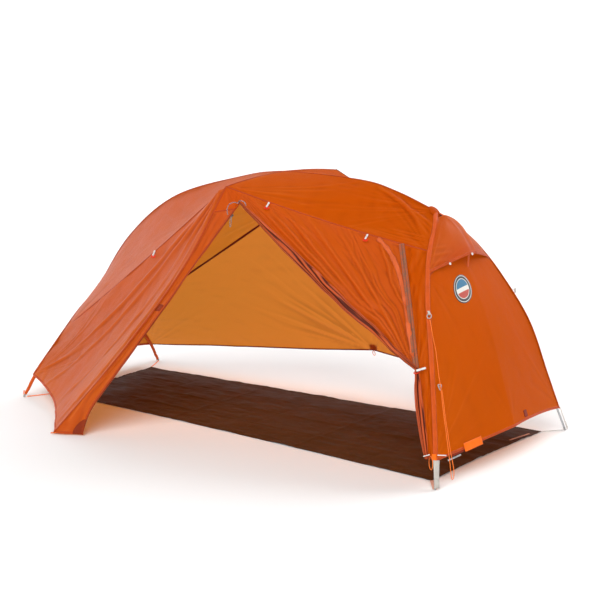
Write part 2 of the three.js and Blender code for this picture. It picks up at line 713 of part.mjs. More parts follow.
// The slider straddles the tape beyond the cloth's edge; its puller hangs from the outer face.
const toOpening = stripSide.dot(stripAcross) > 0 ? stripSide.clone().negate() : stripSide.clone();
const sliderAt = ZIP_TOP.clone().addScaledVector(zipAlong, ZIP_START).addScaledVector(toOpening, 6);
const sliderBody = new THREE.BoxGeometry(8, 5, 14);
add('zip_slider', sliderBody.applyMatrix4(inFrame(stripSide.clone(), stripOut.clone(),
  stripSide.clone().cross(stripOut), sliderAt)), greyPlastic);
const pullTop = sliderAt.clone().addScaledVector(stripOut, 5);
const pull = new THREE.BoxGeometry(6, 2.2, PULL_LENGTH);
add('zip_pull', pull.applyMatrix4(new THREE.Matrix4().makeTranslation(
  pullTop.x, pullTop.y - PULL_HANG_OUT, pullTop.z - PULL_LENGTH / 2 - 1)), greyPlastic);

// The second zip runs down beside the head leg; its tape lies over the seam of door and leg panel.
const TAPE_DOOR_EDGE = vec(-12, -11, 0);
const TAPE_LEG_EDGE = vec(12, -5, 0);
const tapeEnd = (t) => (k) => edgeZip.getPoint(t).add(TAPE_DOOR_EDGE.clone().lerp(TAPE_LEG_EDGE, k));
add('edge_zip_tape', sheet(panel(
  (t) => edgeZip.getPoint(t).add(TAPE_DOOR_EDGE),
  (t) => edgeZip.getPoint(t).add(TAPE_LEG_EDGE),
  tapeEnd(0),
  tapeEnd(1),
  { across: 10, down: 1, margin: 1 },
)), zipTape);

// A toggle is a small barrel that hangs from a loop sewn into the seam and lies on the cloth below.
function toggle(name, seam, down, out) {
  const profile = [new THREE.Vector2(0, -TOGGLE_RADIUS)];
  const low = -Math.PI / 3;
  for (let i = 0; i < 3; i += 1) {
    const angle = low + (i * Math.PI) / 6;
    profile.push(new THREE.Vector2(TOGGLE_RADIUS * Math.cos(angle), TOGGLE_RADIUS * Math.sin(angle)));
  }
  const shoulder = TOGGLE_LENGTH - 2 * TOGGLE_RADIUS;
  for (let i = 0; i < 3; i += 1) {
    const angle = (i * Math.PI) / 6;
    profile.push(new THREE.Vector2(
      TOGGLE_RADIUS * Math.cos(angle),
      shoulder + TOGGLE_RADIUS * Math.sin(angle),
    ));
  }
  profile.push(new THREE.Vector2(0, shoulder + TOGGLE_RADIUS));
  const barrel = toGeometry(toSolid(new THREE.LatheGeometry(profile, 8)));
  const start = seam.clone()
    .addScaledVector(out, TOGGLE_STAND_OFF)
    .addScaledVector(down, TOGGLE_LOOP + TOGGLE_RADIUS);
  barrel.applyMatrix4(aim(start, down));
  add(name, barrel, greyPlastic);
}
const DOOR_TOP_DOWN = vec(0, -0.72, -0.69).normalize();
const DOOR_TOP_OUT = vec(0.1, -0.69, 0.72).normalize();
const TIE_ALONG = vec(0.78, 0.5, 0.3).normalize(); // towards the leg, across the leg panel
const TIE_OUT = vec(0.23, -0.73, 0.63).normalize();
const VESTIBULE_DOWN = vec(0, -0.5, -0.866);
const VESTIBULE_OUT = vec(-0.3, -0.85, 0.45).normalize();
toggle('roof_toggle_1', eaveSeam[NEAR](eaveAt(214)), DOOR_TOP_DOWN, DOOR_TOP_OUT);
toggle('roof_toggle_2', eaveSeam[NEAR](eaveAt(643)), DOOR_TOP_DOWN, DOOR_TOP_OUT);
toggle('tie_back_toggle', TIE_BACK.clone().add(vec(4, -8, 0)), TIE_ALONG, TIE_OUT);
toggle('vestibule_toggle', footSeam[NEAR](0.6), VESTIBULE_DOWN, VESTIBULE_OUT);

// A ring for a guyline on each head leg.
for (const [word, side] of SIDES) {
  const skin = legSkin[side];
  const p = skin.getPoint(atHeight(skin, RING_HEIGHT));
  const ring = new THREE.TorusGeometry(RING_RADIUS, RING_WIRE, 8, 16);
  const outward = vec(0.75, side * 0.66, 0).normalize();
  const upward = vec(0, 0, 1);
  const sideways = upward.clone().cross(outward);
  ring.applyMatrix4(inFrame(sideways, upward, outward, p.addScaledVector(outward, RING_STAND_OFF)));
  add(`guy_ring_${word}`, toGeometry(toSolid(ring)), greyPlastic);
}

// The guyline drops from the near ring over the sloping end wall, through its adjuster, and hangs
// doubled below it, with a stake loop just clear of the ground.
const GUYLINE = [
  vec(1019, -353, 629), vec(1027, -356, 610), vec(1040, -363, 570), vec(1061, -374, 520),
  vec(1077, -385, 470), vec(1091, -394, 420), vec(1101, -400, 392), vec(1114, -409, 350),
  vec(1127, -418, 300), vec(1141, -426, 250), vec(1155, -434, 200), vec(1168, -441, 150),
  vec(1180, -447, 100), vec(1188, -450, 60), vec(1190, -447, 30), vec(1190, -438, 20),
  vec(1190, -429, 30), vec(1188, -427, 60), vec(1180, -429, 100), vec(1168, -428, 150),
  vec(1155, -423, 200), vec(1141, -417, 250), vec(1128, -410, 300), vec(1115, -403, 350),
  vec(1111, -401, 363),
];
const guyline = smooth(GUYLINE);
add('guyline', tube(guyline, 0, guyline.getLength(), CORD_RADIUS, 0, 64, 8), orangeCord);

// The adjuster is a three-cornered plate that lies under the cord, against the wall.
const ADJUSTER_HALF = 9;
const ADJUSTER_THICK = 3;
const guyDown = GUYLINE[8].clone().sub(GUYLINE[5]).normalize();
const wallOut = vec(0.93, -0.12, 0.34).normalize();
const adjusterAcross = guyDown.clone().cross(wallOut).normalize();
const adjusterOut = adjusterAcross.clone().cross(guyDown).normalize();
const plate = new THREE.Shape();
plate.moveTo(0, -ADJUSTER_HALF - 3);
plate.lineTo(ADJUSTER_HALF, ADJUSTER_HALF);
plate.lineTo(-ADJUSTER_HALF, ADJUSTER_HALF);
plate.closePath();
const adjusterMiddle = vec(1106, -403, 376).addScaledVector(adjusterOut, -CORD_RADIUS - 1 - ADJUSTER_THICK);
add('guyline_adjuster', new THREE.ExtrudeGeometry(plate, { depth: ADJUSTER_THICK, bevelEnabled: false })
  .applyMatrix4(inFrame(adjusterAcross, guyDown, adjusterOut, adjusterMiddle)), greyPlastic);

// The stiffened strut that holds the hood's lip off the wall; it folds down flat against the wall.
const PROP_LENGTH = 56;
const PROP_WIDTH = 16;
const PROP_FOOT = vec(980, 0, 792);
const propUp = vec(4, 0, 56).normalize();
add('vent_prop', strap([PROP_FOOT, PROP_FOOT.clone().addScaledVector(propUp, PROP_LENGTH)],
  vec(0, 1, 0), PROP_WIDTH, 2), greyWebbing);

export default tent;
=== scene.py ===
"""A one-person backpacking tent pitched on its hubbed pole frame, with the side door tied back.

Metres. X runs from the foot end to the head end, the door is on the -Y side, and Z is up. The cloth
is built from the same seam and pole lines as the CAD panels that it stands for.
"""

import math

import bpy
import numpy as np
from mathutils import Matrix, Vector


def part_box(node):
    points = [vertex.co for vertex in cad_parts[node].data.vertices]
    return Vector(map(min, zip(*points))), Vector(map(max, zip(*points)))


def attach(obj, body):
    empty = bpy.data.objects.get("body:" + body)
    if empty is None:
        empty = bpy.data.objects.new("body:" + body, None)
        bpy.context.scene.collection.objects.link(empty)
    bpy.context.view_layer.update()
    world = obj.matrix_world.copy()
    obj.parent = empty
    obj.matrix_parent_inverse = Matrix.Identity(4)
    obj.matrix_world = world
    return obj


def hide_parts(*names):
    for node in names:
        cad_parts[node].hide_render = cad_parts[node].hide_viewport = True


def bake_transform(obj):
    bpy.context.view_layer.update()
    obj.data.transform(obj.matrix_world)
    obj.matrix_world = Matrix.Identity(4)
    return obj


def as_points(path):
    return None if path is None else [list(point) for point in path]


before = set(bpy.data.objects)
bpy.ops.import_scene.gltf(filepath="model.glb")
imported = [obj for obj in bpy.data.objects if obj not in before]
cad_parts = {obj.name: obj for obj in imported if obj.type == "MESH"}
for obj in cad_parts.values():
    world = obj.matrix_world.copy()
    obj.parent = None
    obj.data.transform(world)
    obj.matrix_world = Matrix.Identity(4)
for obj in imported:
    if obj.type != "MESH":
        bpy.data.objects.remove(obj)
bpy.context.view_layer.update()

# ---- Camera ------------------------------------------------------------------------------------
CAMERA_AT = (4.343, -5.659, 1.912)
CAMERA_TURN = math.radians(36.8)
CAMERA_PITCH = math.radians(10.91)
CAMERA_LENS = 95.92  # mm, on the default 36 mm sensor


def add_camera():
    camera = bpy.data.objects.new("camera", bpy.data.cameras.new("camera"))
    camera.data.lens = CAMERA_LENS
    camera.location = CAMERA_AT
    camera.rotation_euler = (math.pi / 2 - CAMERA_PITCH, 0, CAMERA_TURN)
    bpy.context.scene.collection.objects.link(camera)
    bpy.context.scene.camera = camera


add_camera()

# ---- Lines that the cloth hangs on ---------------------------------------------------------------
NEAR = -1
FAR = 1
SIDES = (("near", NEAR), ("far", FAR))


def mm(*points):
    """Points given in millimetres, as an array in metres."""
    return np.array(points, float) / 1000


SPINE_LINE = mm(
    (-1152, 0, 462), (-922, 0, 752), (-628, 0, 965), (-233, 0, 1084),
    (20, 0, 1124), (428, 0, 1117), (619, 0, 1081), (820, 0, 1012),
)
HEAD_LEG_LINE = mm(
    (820, 0, 1012), (866, 82, 950), (914, 200, 850), (979, 307, 700),
    (1059, 403, 500), (1121, 470, 255), (1182, 545, 0),
)
FOOT_LEG_LINE = mm(
    (-1152, 0, 462), (-1149, 125, 383), (-1150, 229, 300), (-1165, 328, 200),
    (-1182, 422, 98), (-1194, 486, 0),
)
BROW_X = 0.020
BROW_HALF = 0.407
BROW_TOP = 1.124
BROW_DROP = 0.028
ELBOW_HEIGHT = 0.872  # where an eave meets its head leg
VENT_HEIGHT = 0.790  # where the hood's lip meets the legs
VENT_GAP = 0.010  # from the lip down to the wall's top, on the legs
LIP_BEND = 1.25  # how round the arch of the hood's lip is
WALL_BEND = 1.8
FOOT_SEAM_HEIGHT = 0.300
HEAD_HEM_HEIGHT = 0.105
FOOT_HEM_HEIGHT = 0.100
FAR_HEM_PULL = mm((90, 620, 200))[0]
HEAD_HEM_MIDDLE = mm((1222, 0, 143))[0]
HOOD_LIP = mm((998, 0, 848))[0]
WALL_TOP = mm((940, 0, 864))[0]
STAKE_CORNER = mm((-600, -864, 6))[0]
DOOR_CORNER = mm((-474, -808, 6))[0]
ZIP_TOP = mm((64, -400, 1000))[0]
ZIP_LOW = mm((-428, -760, 163))[0]
ZIP_BEND = mm((-468, -790, 95))[0]
TIE_BACK = mm((1026, -452, 439))[0]
LEG_PANEL_HEM = mm((1126, -522, 122))[0]
ROLL_TOP = mm((104, -418, 1030))[0]
DOOR_SEAM_START = 0.090  # x where the gathered door starts under the eave
EDGE_ZIP_START = 0.785  # x where the zip down the leg panel starts
EDGE_ZIP_MIDDLE = mm((904, -328, 690))[0]
FOLD_LINE = mm((-125, -514, 756), (-340, -672, 389))
FOLD_FROM = 0.11  # share of the fold line above the strip
HUB_SHARE_HEAD = 0.08  # share of a leg that the cloth over its hub takes up
HUB_SHARE_FOOT = 0.07
ZIPPED_SHARE = 0.55  # share of the leg panel's free edge that is zip
POLE_DEPTH = 0.010  # from the cloth in to the middle of a pole


def unit(v):
    v = np.asarray(v, float)
    return v / np.maximum(np.linalg.norm(v, axis=-1, keepdims=True), 1e-12)


def ease(x):
    """0 below 0, 1 above 1, and smooth between them."""
    x = np.clip(x, 0, 1)
    return x * x * (3 - 2 * x)


class Smooth:
    """A Catmull-Rom curve through its points, from parameter 0 to 1."""

    def __init__(self, points):
        p = np.array(points, float)
        self.points = np.vstack([2 * p[0] - p[1], p, 2 * p[-1] - p[-2]])
        self.spans = len(p) - 1

    def __call__(self, t):
        place = np.clip(np.asarray(t, float), 0, 1) * self.spans
        i = np.minimum(place.astype(int), self.spans - 1)
        w = (place - i)[..., None]
        a, b, c, d = (self.points[i + k] for k in range(4))
        go = (c - a) / 2
        come = (d - b) / 2
        return (2 * b - 2 * c + go + come) * w**3 + (3 * c - 3 * b - 2 * go - come) * w**2 + go * w + b

    def where(self, axis, value):
        """The parameter at which the curve passes a coordinate that only rises or only falls."""
        t = np.linspace(0, 1, 2001)
        x = self(t)[:, axis]
        return float(np.interp(value, x, t) if x[-1] > x[0] else np.interp(-value, -x, t))


def mirrored(points, side):
    return points * (1, side, 1)


def stretch(curve, a, b):
    return lambda t: curve(a + (b - a) * np.asarray(t, float))


def straight(a, b):
    return lambda t: a + (b - a) * np.asarray(t, float)[..., None]


def slack(a, b, sag):
    """A line from a to b that sags by `sag` millimetres, most in the middle."""
    sag = np.array(sag, float) / 1000

    def line(t):
        t = np.asarray(t, float)[..., None]
        return a + (b - a) * t + sag * 4 * t * (1 - t)

    return line


def quadratic(a, b, c):
    def line(t):
        t = np.asarray(t, float)[..., None]
        return a * (1 - t) ** 2 + b * 2 * t * (1 - t) + c * t**2

    return line


def one_after_other(first, second, share):
    """Two lines joined, the first taking up `share` of the parameter."""

    def line(t):
        t = np.asarray(t, float)
        early = first(np.minimum(t / share, 1))
        late = second(np.clip((t - share) / (1 - share), 0, 1))
        return np.where((t < share)[..., None], early, late)

    return line


def evenly(line, count):
    """`count` points spaced evenly along a line."""
    fine = line(np.linspace(0, 1, 600))
    steps = np.linalg.norm(np.diff(fine, axis=0), axis=1)
    travelled = np.concatenate([[0], np.cumsum(steps)])
    wanted = np.linspace(0, travelled[-1], count)
    return np.stack([np.interp(wanted, travelled, fine[:, k]) for k in range(3)], 1)


def by_length(line):
    """The same line, with its parameter running evenly along it."""
    even = evenly(line, 400)
    return lambda t: np.stack(
        [np.interp(np.asarray(t, float), np.linspace(0, 1, 400), even[:, k]) for k in range(3)], -1
    )


def brow(side):
    def line(t):
        t = np.asarray(t, float)
        return np.stack([BROW_X + 0 * t, side * BROW_HALF * t, BROW_TOP - BROW_DROP * t * t], -1)

    return line


spine = Smooth(SPINE_LINE)
spine_brow = spine.where(0, BROW_X)
leg = {side: Smooth(mirrored(HEAD_LEG_LINE, side)) for _, side in SIDES}
foot_leg = {side: Smooth(mirrored(FOOT_LEG_LINE, side)) for _, side in SIDES}
leg_at = {h: leg[FAR].where(2, h) for h in (ELBOW_HEIGHT, VENT_HEIGHT, VENT_HEIGHT - VENT_GAP, HEAD_HEM_HEIGHT)}
foot_at = {h: foot_leg[FAR].where(2, h) for h in (FOOT_SEAM_HEIGHT, FOOT_HEM_HEIGHT)}
brow_end = {side: brow(side)(1.0) for _, side in SIDES}
elbow = {side: leg[side](leg_at[ELBOW_HEIGHT]) for _, side in SIDES}
eave = {side: slack(brow_end[side], elbow[side], (0, -12 * side, -16)) for _, side in SIDES}
foot_seam = {
    side: slack(foot_leg[side](foot_at[FOOT_SEAM_HEIGHT]), brow_end[side], (0, 0, -10)) for _, side in SIDES
}
foot_hem = {side: foot_leg[side](foot_at[FOOT_HEM_HEIGHT]) for _, side in SIDES}
head_hem = {side: leg[side](leg_at[HEAD_HEM_HEIGHT]) for _, side in SIDES}


def eave_share(x):
    return (x - BROW_X) / (elbow[NEAR][0] - BROW_X)


fold = Smooth(np.vstack([brow_end[NEAR], FOLD_LINE, STAKE_CORNER]))
zip_edge = by_length(
    one_after_other(straight(ZIP_TOP, ZIP_LOW), quadratic(ZIP_LOW, ZIP_BEND, DOOR_CORNER), 0.86)
)
edge_zip = Smooth([eave[NEAR](eave_share(EDGE_ZIP_START)), EDGE_ZIP_MIDDLE, TIE_BACK])
roll_line = slack(ROLL_TOP, TIE_BACK, (0, 0, -22))
leg_panel_edge = slack(TIE_BACK, LEG_PANEL_HEM, (4, -6, 0))


# ---- Cloth ---------------------------------------------------------------------------------------
PITCH = 0.0085  # how far apart the points of a panel lie
HOLD = 0.018  # a sewn edge keeps the cloth flat this far in
RELIEF = 1.9  # how much deeper the folds are than their listed heights
DEEP = 0.0012  # a valley this deep gets the full painted shade


def noise(x, seed):
    """Smooth random numbers from -1 to 1 along x."""
    values = np.random.default_rng(seed).uniform(-1, 1, 1024)
    i = np.floor(x).astype(int)
    w = ease(x - i)
    return values[i % 1024] * (1 - w) + values[(i + 1) % 1024] * w


def noise2(x, y, seed):
    """Smooth random numbers from -1 to 1 over a plane."""
    values = np.random.default_rng(seed).uniform(-1, 1, (256, 256))
    i = np.floor(x).astype(int)
    j = np.floor(y).astype(int)
    p = ease(x - i)
    q = ease(y - j)
    near = values[i % 256, j % 256] * (1 - p) + values[(i + 1) % 256, j % 256] * p
    far = values[i % 256, (j + 1) % 256] * (1 - p) + values[(i + 1) % 256, (j + 1) % 256] * p
    return near * (1 - q) + far * q


def folds(x, seed):
    """Narrow ridges at random places along x, with flat stretches between them."""
    return (1 - np.abs(noise(x, seed))) ** 3 - 0.3


class Cloth:
    """A panel spanned by four edges: low and high run with u, start and end with v."""

    def __init__(self, low, high, start, end, swell=(0, 0, 0), heart=(0, 0, 0.4), pitch=PITCH):
        probe = np.linspace(0, 1, 40)
        lengths = [np.linalg.norm(np.diff(f(probe), axis=0), axis=1).sum() for f in (low, high, start, end)]
        self.wide = max(lengths[0], lengths[1])
        self.long = max(lengths[2], lengths[3])
        columns = max(4, round(self.wide / pitch)) + 1
        rows = max(4, round(self.long / pitch)) + 1
        u = np.linspace(0, 1, columns)
        v = np.linspace(0, 1, rows)
        self.u, self.v = np.meshgrid(u, v)
        a = self.u[..., None]
        b = self.v[..., None]
        corners = (
            low(0.0) * (1 - a) * (1 - b) + low(1.0) * a * (1 - b)
            + high(0.0) * (1 - a) * b + high(1.0) * a * b
        )
        self.points = (
            low(u)[None] * (1 - b) + high(u)[None] * b
            + start(v)[:, None] * (1 - a) + end(v)[:, None] * a
            - corners + np.array(swell, float) / 1000 * 16 * a * (1 - a) * b * (1 - b)
        )
        self.sign = 1
        if (self.find_normals() * (self.points - np.array(heart))).sum() < 0:
            self.sign = -1
        self.normals = self.find_normals()
        self.height = np.zeros(self.u.shape)
        self.fold = np.zeros(self.u.shape)
        self.flat_area = self.area()

    def find_normals(self):
        return unit(np.cross(np.gradient(self.points, axis=1), np.gradient(self.points, axis=0))) * self.sign

    def area(self):
        p = self.points
        one = np.cross(p[:-1, 1:] - p[:-1, :-1], p[1:, :-1] - p[:-1, :-1])
        two = np.cross(p[1:, :-1] - p[1:, 1:], p[:-1, 1:] - p[1:, 1:])
        return float((np.linalg.norm(one, axis=-1) + np.linalg.norm(two, axis=-1)).sum() / 2)

    def at(self, u, v, lift=0.0):
        """Points on the panel, raised by lift, and the normals there."""
        u, v = np.broadcast_arrays(np.clip(u, 0, 1), np.clip(v, 0, 1))
        x = u * (self.u.shape[1] - 1)
        y = v * (self.u.shape[0] - 1)
        i = np.minimum(x.astype(int), self.u.shape[1] - 2)
        j = np.minimum(y.astype(int), self.u.shape[0] - 2)
        p = (x - i)[..., None]
        q = (y - j)[..., None]

        def mixed(field):
            top = field[j, i] * (1 - p) + field[j, i + 1] * p
            return top * (1 - q) + (field[j + 1, i] * (1 - p) + field[j + 1, i + 1] * p) * q

        normals = unit(mixed(self.normals))
        return mixed(self.points) + normals * np.expand_dims(lift, -1), normals

    def nearest(self, point):
        gap = np.linalg.norm(self.points - point, axis=-1)
        j, i = np.unravel_index(np.argmin(gap), gap.shape)
        return float(self.u[j, i]), float(self.v[j, i])

    def fan(self, at, toward, height, spread, reach, count, seed, core=0.05):
        """Folds that run out from a pulled point: spread in radians each way, reach in metres."""
        middle = self.normals[tuple(np.array(self.u.shape) // 2)]
        axis = unit(np.asarray(toward) - at)
        side = unit(np.cross(middle, axis))
        rel = self.points - at
        x = rel @ axis
        y = rel @ side
        r = np.hypot(x, y)
        angle = np.arctan2(y, x) + 0.04 * noise(r / 0.22, seed + 1)
        fade = np.exp(-((angle / spread) ** 2)) * ease(r / core) * np.exp(-((r / reach) ** 2))
        vary = 0.65 + 0.35 * noise2(angle / spread * count, r / 0.15, seed + 2)
        self.height += height * folds(angle / spread * count, seed) * fade * vary

    def crease(self, a, b, width, height, fade=0.5):
        """One fold from a to b."""
        run = np.asarray(b) - a
        t = np.clip((self.points - a) @ run / (run @ run), 0, 1)
        gap = self.points - (a + t[..., None] * run)
        gap = gap - (gap * self.normals).sum(-1, keepdims=True) * self.normals
        d = np.linalg.norm(gap, axis=-1)
        taper = np.sin(np.pi * np.clip(t, 0.001, 0.999)) ** fade
        self.height += height * np.exp(-((d / width) ** 2)) * taper

    def ripple(self, height, across, along, seed, tilt=0.0):
        """Soft random waves, `across` apart and `along` long, turned by tilt from the v direction."""
        x = self.u * self.wide
        y = self.v * self.long
        p = (x * math.cos(tilt) - y * math.sin(tilt)) / across
        q = (x * math.sin(tilt) + y * math.cos(tilt)) / along
        self.height += height * noise2(p + 40, q + 40, seed)

    def settle(self, free=()):
        """Raises the folds, keeping every edge still that isn't named as free."""
        edges = {
            "low": self.v * self.long,
            "high": (1 - self.v) * self.long,
            "start": self.u * self.wide,
            "end": (1 - self.u) * self.wide,
        }
        hold = np.ones(self.u.shape)
        for name, distance in edges.items():
            if name not in free:
                hold = hold * ease(distance / HOLD)
        height = self.height * hold * RELIEF
        self.points = self.points + self.normals * height[..., None]
        self.normals = self.find_normals()
        # fold: 1 in a valley, for painted shade, and -1 on a ridge, for painted highlights
        around = height
        for _ in range(12):
            padded = np.pad(around, 1, mode="edge")
            beside = padded[:-2, 1:-1] + padded[2:, 1:-1] + padded[1:-1, :-2] + padded[1:-1, 2:]
            around = beside / 8 + around / 2
        self.fold = np.clip((around - height) / DEEP, -1, 1)
        return self

    def edge(self, name, lift=0.0, inset=0.0, a=0.0, b=1.0, count=160):
        """Points and normals along one edge, moved inset metres into the panel."""
        t = np.linspace(a, b, count)
        if name in ("low", "high"):
            v = inset / self.long
            return self.at(t, v if name == "low" else 1 - v, lift)
        u = inset / self.wide
        return self.at(u if name == "start" else 1 - u, t, lift)


def roof_cloth(side, seed):
    cloth = Cloth(
        stretch(spine, spine_brow, 1), eave[side], brow(side), stretch(leg[side], 0, leg_at[ELBOW_HEIGHT]),
        swell=(0, 0, -6),
    )
    hub = SPINE_LINE[-1]
    ridge = spine(0.86)
    low = elbow[side]
    cloth.fan(hub, brow_end[side], 0.0020, 0.55, 0.60, 6, seed)
    cloth.fan(low, ridge - (0.25, 0, 0), 0.0022, 0.60, 0.30, 5, seed + 10)
    cloth.fan(brow_end[side], ridge, 0.0030, 0.30, 0.50, 3, seed + 20)
    for k, (start, drop) in enumerate(((0.79, 0.50), (0.83, 0.35), (0.87, 0.20))):
        target = leg[side](leg_at[ELBOW_HEIGHT] * (1 - drop))
        cloth.crease(spine(start) + (0, 0.02 * side, 0), target, 0.008, 0.0026 - 0.0004 * k)
    for k in range(4):
        back = eave[side](0.62 + 0.05 * k) + (0, -0.012 * side * k, 0.012 * (k + 1))
        front = eave[side](0.97) + (0, -0.012 * side * k, 0.016 * (k + 1))
        cloth.crease(back, front, 0.005, 0.0014)
    cloth.ripple(0.0022, 0.16, 0.30, seed + 30)
    cloth.ripple(0.0006, 0.045, 0.11, seed + 31, 0.5)
    return cloth.settle()


def foot_roof_cloth(side, seed):
    cloth = Cloth(
        stretch(spine, 0, spine_brow), foot_seam[side],
        stretch(foot_leg[side], 0, foot_at[FOOT_SEAM_HEIGHT]), brow(side), swell=(6, 0, -8),
    )
    low = foot_leg[side](foot_at[FOOT_SEAM_HEIGHT])
    cloth.fan(brow_end[side], low, 0.0040, 0.22, 0.75, 4, seed)
    cloth.fan(low, brow_end[side], 0.0038, 0.35, 0.45, 4, seed + 10)
    cloth.fan(FOOT_LEG_LINE[0], spine(0.4), 0.0030, 0.60, 0.40, 5, seed + 20)
    cloth.ripple(0.0026, 0.20, 0.35, seed + 30, 0.3)
    cloth.ripple(0.0006, 0.05, 0.12, seed + 31, 0.9)
    return cloth.settle()


def far_side_cloth():
    top = one_after_other(foot_seam[FAR], eave[FAR], 0.5)
    hem = one_after_other(
        slack(foot_hem[FAR], FAR_HEM_PULL, (0, -14, 4)), slack(FAR_HEM_PULL, head_hem[FAR], (0, -14, 12)), 0.5
    )
    cloth = Cloth(
        top, hem,
        stretch(foot_leg[FAR], foot_at[FOOT_SEAM_HEIGHT], foot_at[FOOT_HEM_HEIGHT]),
        stretch(leg[FAR], leg_at[ELBOW_HEIGHT], leg_at[HEAD_HEM_HEIGHT]),
    )
    pull = FAR_HEM_PULL
    cloth.fan(pull, pull + (-0.55, -0.10, 0.36), 0.0030, 0.30, 0.62, 7, 301)
    cloth.fan(pull, pull + (0.45, -0.10, 0.50), 0.0020, 0.45, 0.45, 5, 311)
    for k, (dx, dz) in enumerate(((-0.62, 0.36), (-0.55, 0.27), (-0.50, 0.46), (-0.66, 0.20))):
        cloth.crease(pull, pull + (dx, -0.10, dz), 0.008, 0.0036 - 0.0004 * k)
    cloth.fan(foot_hem[FAR], brow_end[FAR], 0.0022, 0.40, 0.60, 5, 321)
    cloth.fan(head_hem[FAR], brow_end[FAR] + (0.3, 0, 0), 0.0035, 0.45, 0.50, 4, 331)
    cloth.fan(brow_end[FAR], pull, 0.0035, 0.70, 0.45, 7, 341)
    cloth.ripple(0.0030, 0.24, 0.30, 351, 0.4)
    cloth.ripple(0.0007, 0.05, 0.12, 352, 0.8)
    return cloth.settle(free=("high",))


def vestibule_cloth():
    cloth = Cloth(
        foot_seam[NEAR], slack(foot_hem[NEAR], STAKE_CORNER, (26, 38, 6)),
        stretch(foot_leg[NEAR], foot_at[FOOT_SEAM_HEIGHT], foot_at[FOOT_HEM_HEIGHT]), fold,
        swell=(10, 16, 0), heart=(0, 0, 0.1),
    )
    peak = brow_end[NEAR]
    corner = foot_hem[NEAR]
    cloth.fan(peak, (corner + STAKE_CORNER) / 2, 0.0045, 0.40, 1.00, 6, 401)
    cloth.fan(STAKE_CORNER, peak, 0.0050, 0.30, 0.60, 5, 411)
    cloth.fan(corner, peak, 0.0045, 0.35, 0.60, 4, 421)
    cloth.crease(peak, corner + (0.02, -0.02, 0.02), 0.011, 0.0055, 0.3)
    cloth.crease(peak, corner + (0.14, -0.10, 0.00), 0.011, 0.0048, 0.3)
    cloth.crease(peak, corner + (0.36, -0.24, 0.00), 0.010, 0.0036, 0.3)
    cloth.crease(peak, STAKE_CORNER + (-0.05, 0.05, 0.05), 0.010, 0.0044, 0.3)
    cloth.ripple(0.0028, 0.16, 0.40, 431, -0.2)
    cloth.ripple(0.0007, 0.05, 0.14, 432, 0.3)
    return cloth.settle(free=("high",))


def strip_cloth():
    top = fold(FOLD_FROM)
    cloth = Cloth(
        stretch(fold, FOLD_FROM, 1), zip_edge, straight(top, ZIP_TOP), straight(STAKE_CORNER, DOOR_CORNER),
        heart=(0, 0, 0.1), pitch=0.007,
    )
    cloth.fan(STAKE_CORNER, top, 0.0030, 0.20, 0.60, 3, 501)
    cloth.crease(top, STAKE_CORNER + (0.06, 0.03, 0.05), 0.009, 0.0042, 0.3)
    cloth.ripple(0.0028, 0.05, 0.30, 511, math.pi / 2)
    cloth.ripple(0.0008, 0.03, 0.10, 512, 1.2)
    return cloth.settle(free=("high", "end"))


def door_top_cloth():
    """The small panel that closes the top of the doorway, from the fold line to the roll."""
    top = fold(FOLD_FROM)
    last = eave_share(DOOR_SEAM_START)
    cloth = Cloth(
        stretch(eave[NEAR], 0.0, last),
        one_after_other(straight(top, ZIP_TOP), straight(ZIP_TOP, ROLL_TOP), 0.6),
        stretch(fold, 0.0, FOLD_FROM), straight(eave[NEAR](last), ROLL_TOP), heart=(0, 0, 0.1), pitch=0.0045,
    )
    cloth.fan(brow_end[NEAR], ZIP_TOP, 0.0020, 0.60, 0.10, 3, 551, core=0.02)
    cloth.ripple(0.0010, 0.03, 0.06, 552)
    return cloth.settle(free=("high",))


def door_cloth():
    left = eave[NEAR](eave_share(DOOR_SEAM_START))
    cloth = Cloth(
        stretch(eave[NEAR], eave_share(DOOR_SEAM_START), eave_share(EDGE_ZIP_START)), roll_line,
        straight(left, ROLL_TOP), edge_zip, heart=(0.5, 0.3, 0.4), pitch=0.0055,
    )
    rel = cloth.points - TIE_BACK
    r = np.linalg.norm(rel, axis=-1)
    reach = np.linalg.norm(ROLL_TOP - TIE_BACK)
    axis = unit(ROLL_TOP - TIE_BACK)
    side = unit(edge_zip(0.0) - TIE_BACK)
    side = unit(side - (side @ axis) * axis)
    angle = np.arctan2(rel @ side, rel @ axis)
    wander = angle + 0.05 * noise(r / 0.20, 601) + 0.02 * noise(r / 0.07, 602)
    gather = np.minimum(0.16 * r, 0.0085) * (0.25 + 0.75 * ease(1.25 - r / (0.75 * reach)))
    cloth.height += 0.50 * gather * folds(wander * 12, 603)
    cloth.height += 0.16 * gather * noise(wander * 37, 604)
    cloth.fan(left, (TIE_BACK + edge_zip(0.3)) / 2, 0.0030, 0.50, 0.45, 6, 611)
    cloth.fan(eave[NEAR](0.62), TIE_BACK, 0.0016, 0.50, 0.30, 5, 621)
    for k, (start, reach) in enumerate(((0.03, 0.62), (0.10, 0.55), (0.20, 0.70), (0.34, 0.78), (0.50, 0.85))):
        a = eave[NEAR](eave_share(DOOR_SEAM_START) + start * (1 - eave_share(DOOR_SEAM_START)))
        cloth.crease(a + (0.01, 0, -0.01), a + reach * (TIE_BACK - a), 0.007, 0.0040 - 0.0003 * k, 0.6)
    cloth.ripple(0.0013, 0.06, 0.22, 631, 0.6)
    cloth.ripple(0.0005, 0.022, 0.07, 632, 0.8)
    return cloth.settle(free=("high", "end"))


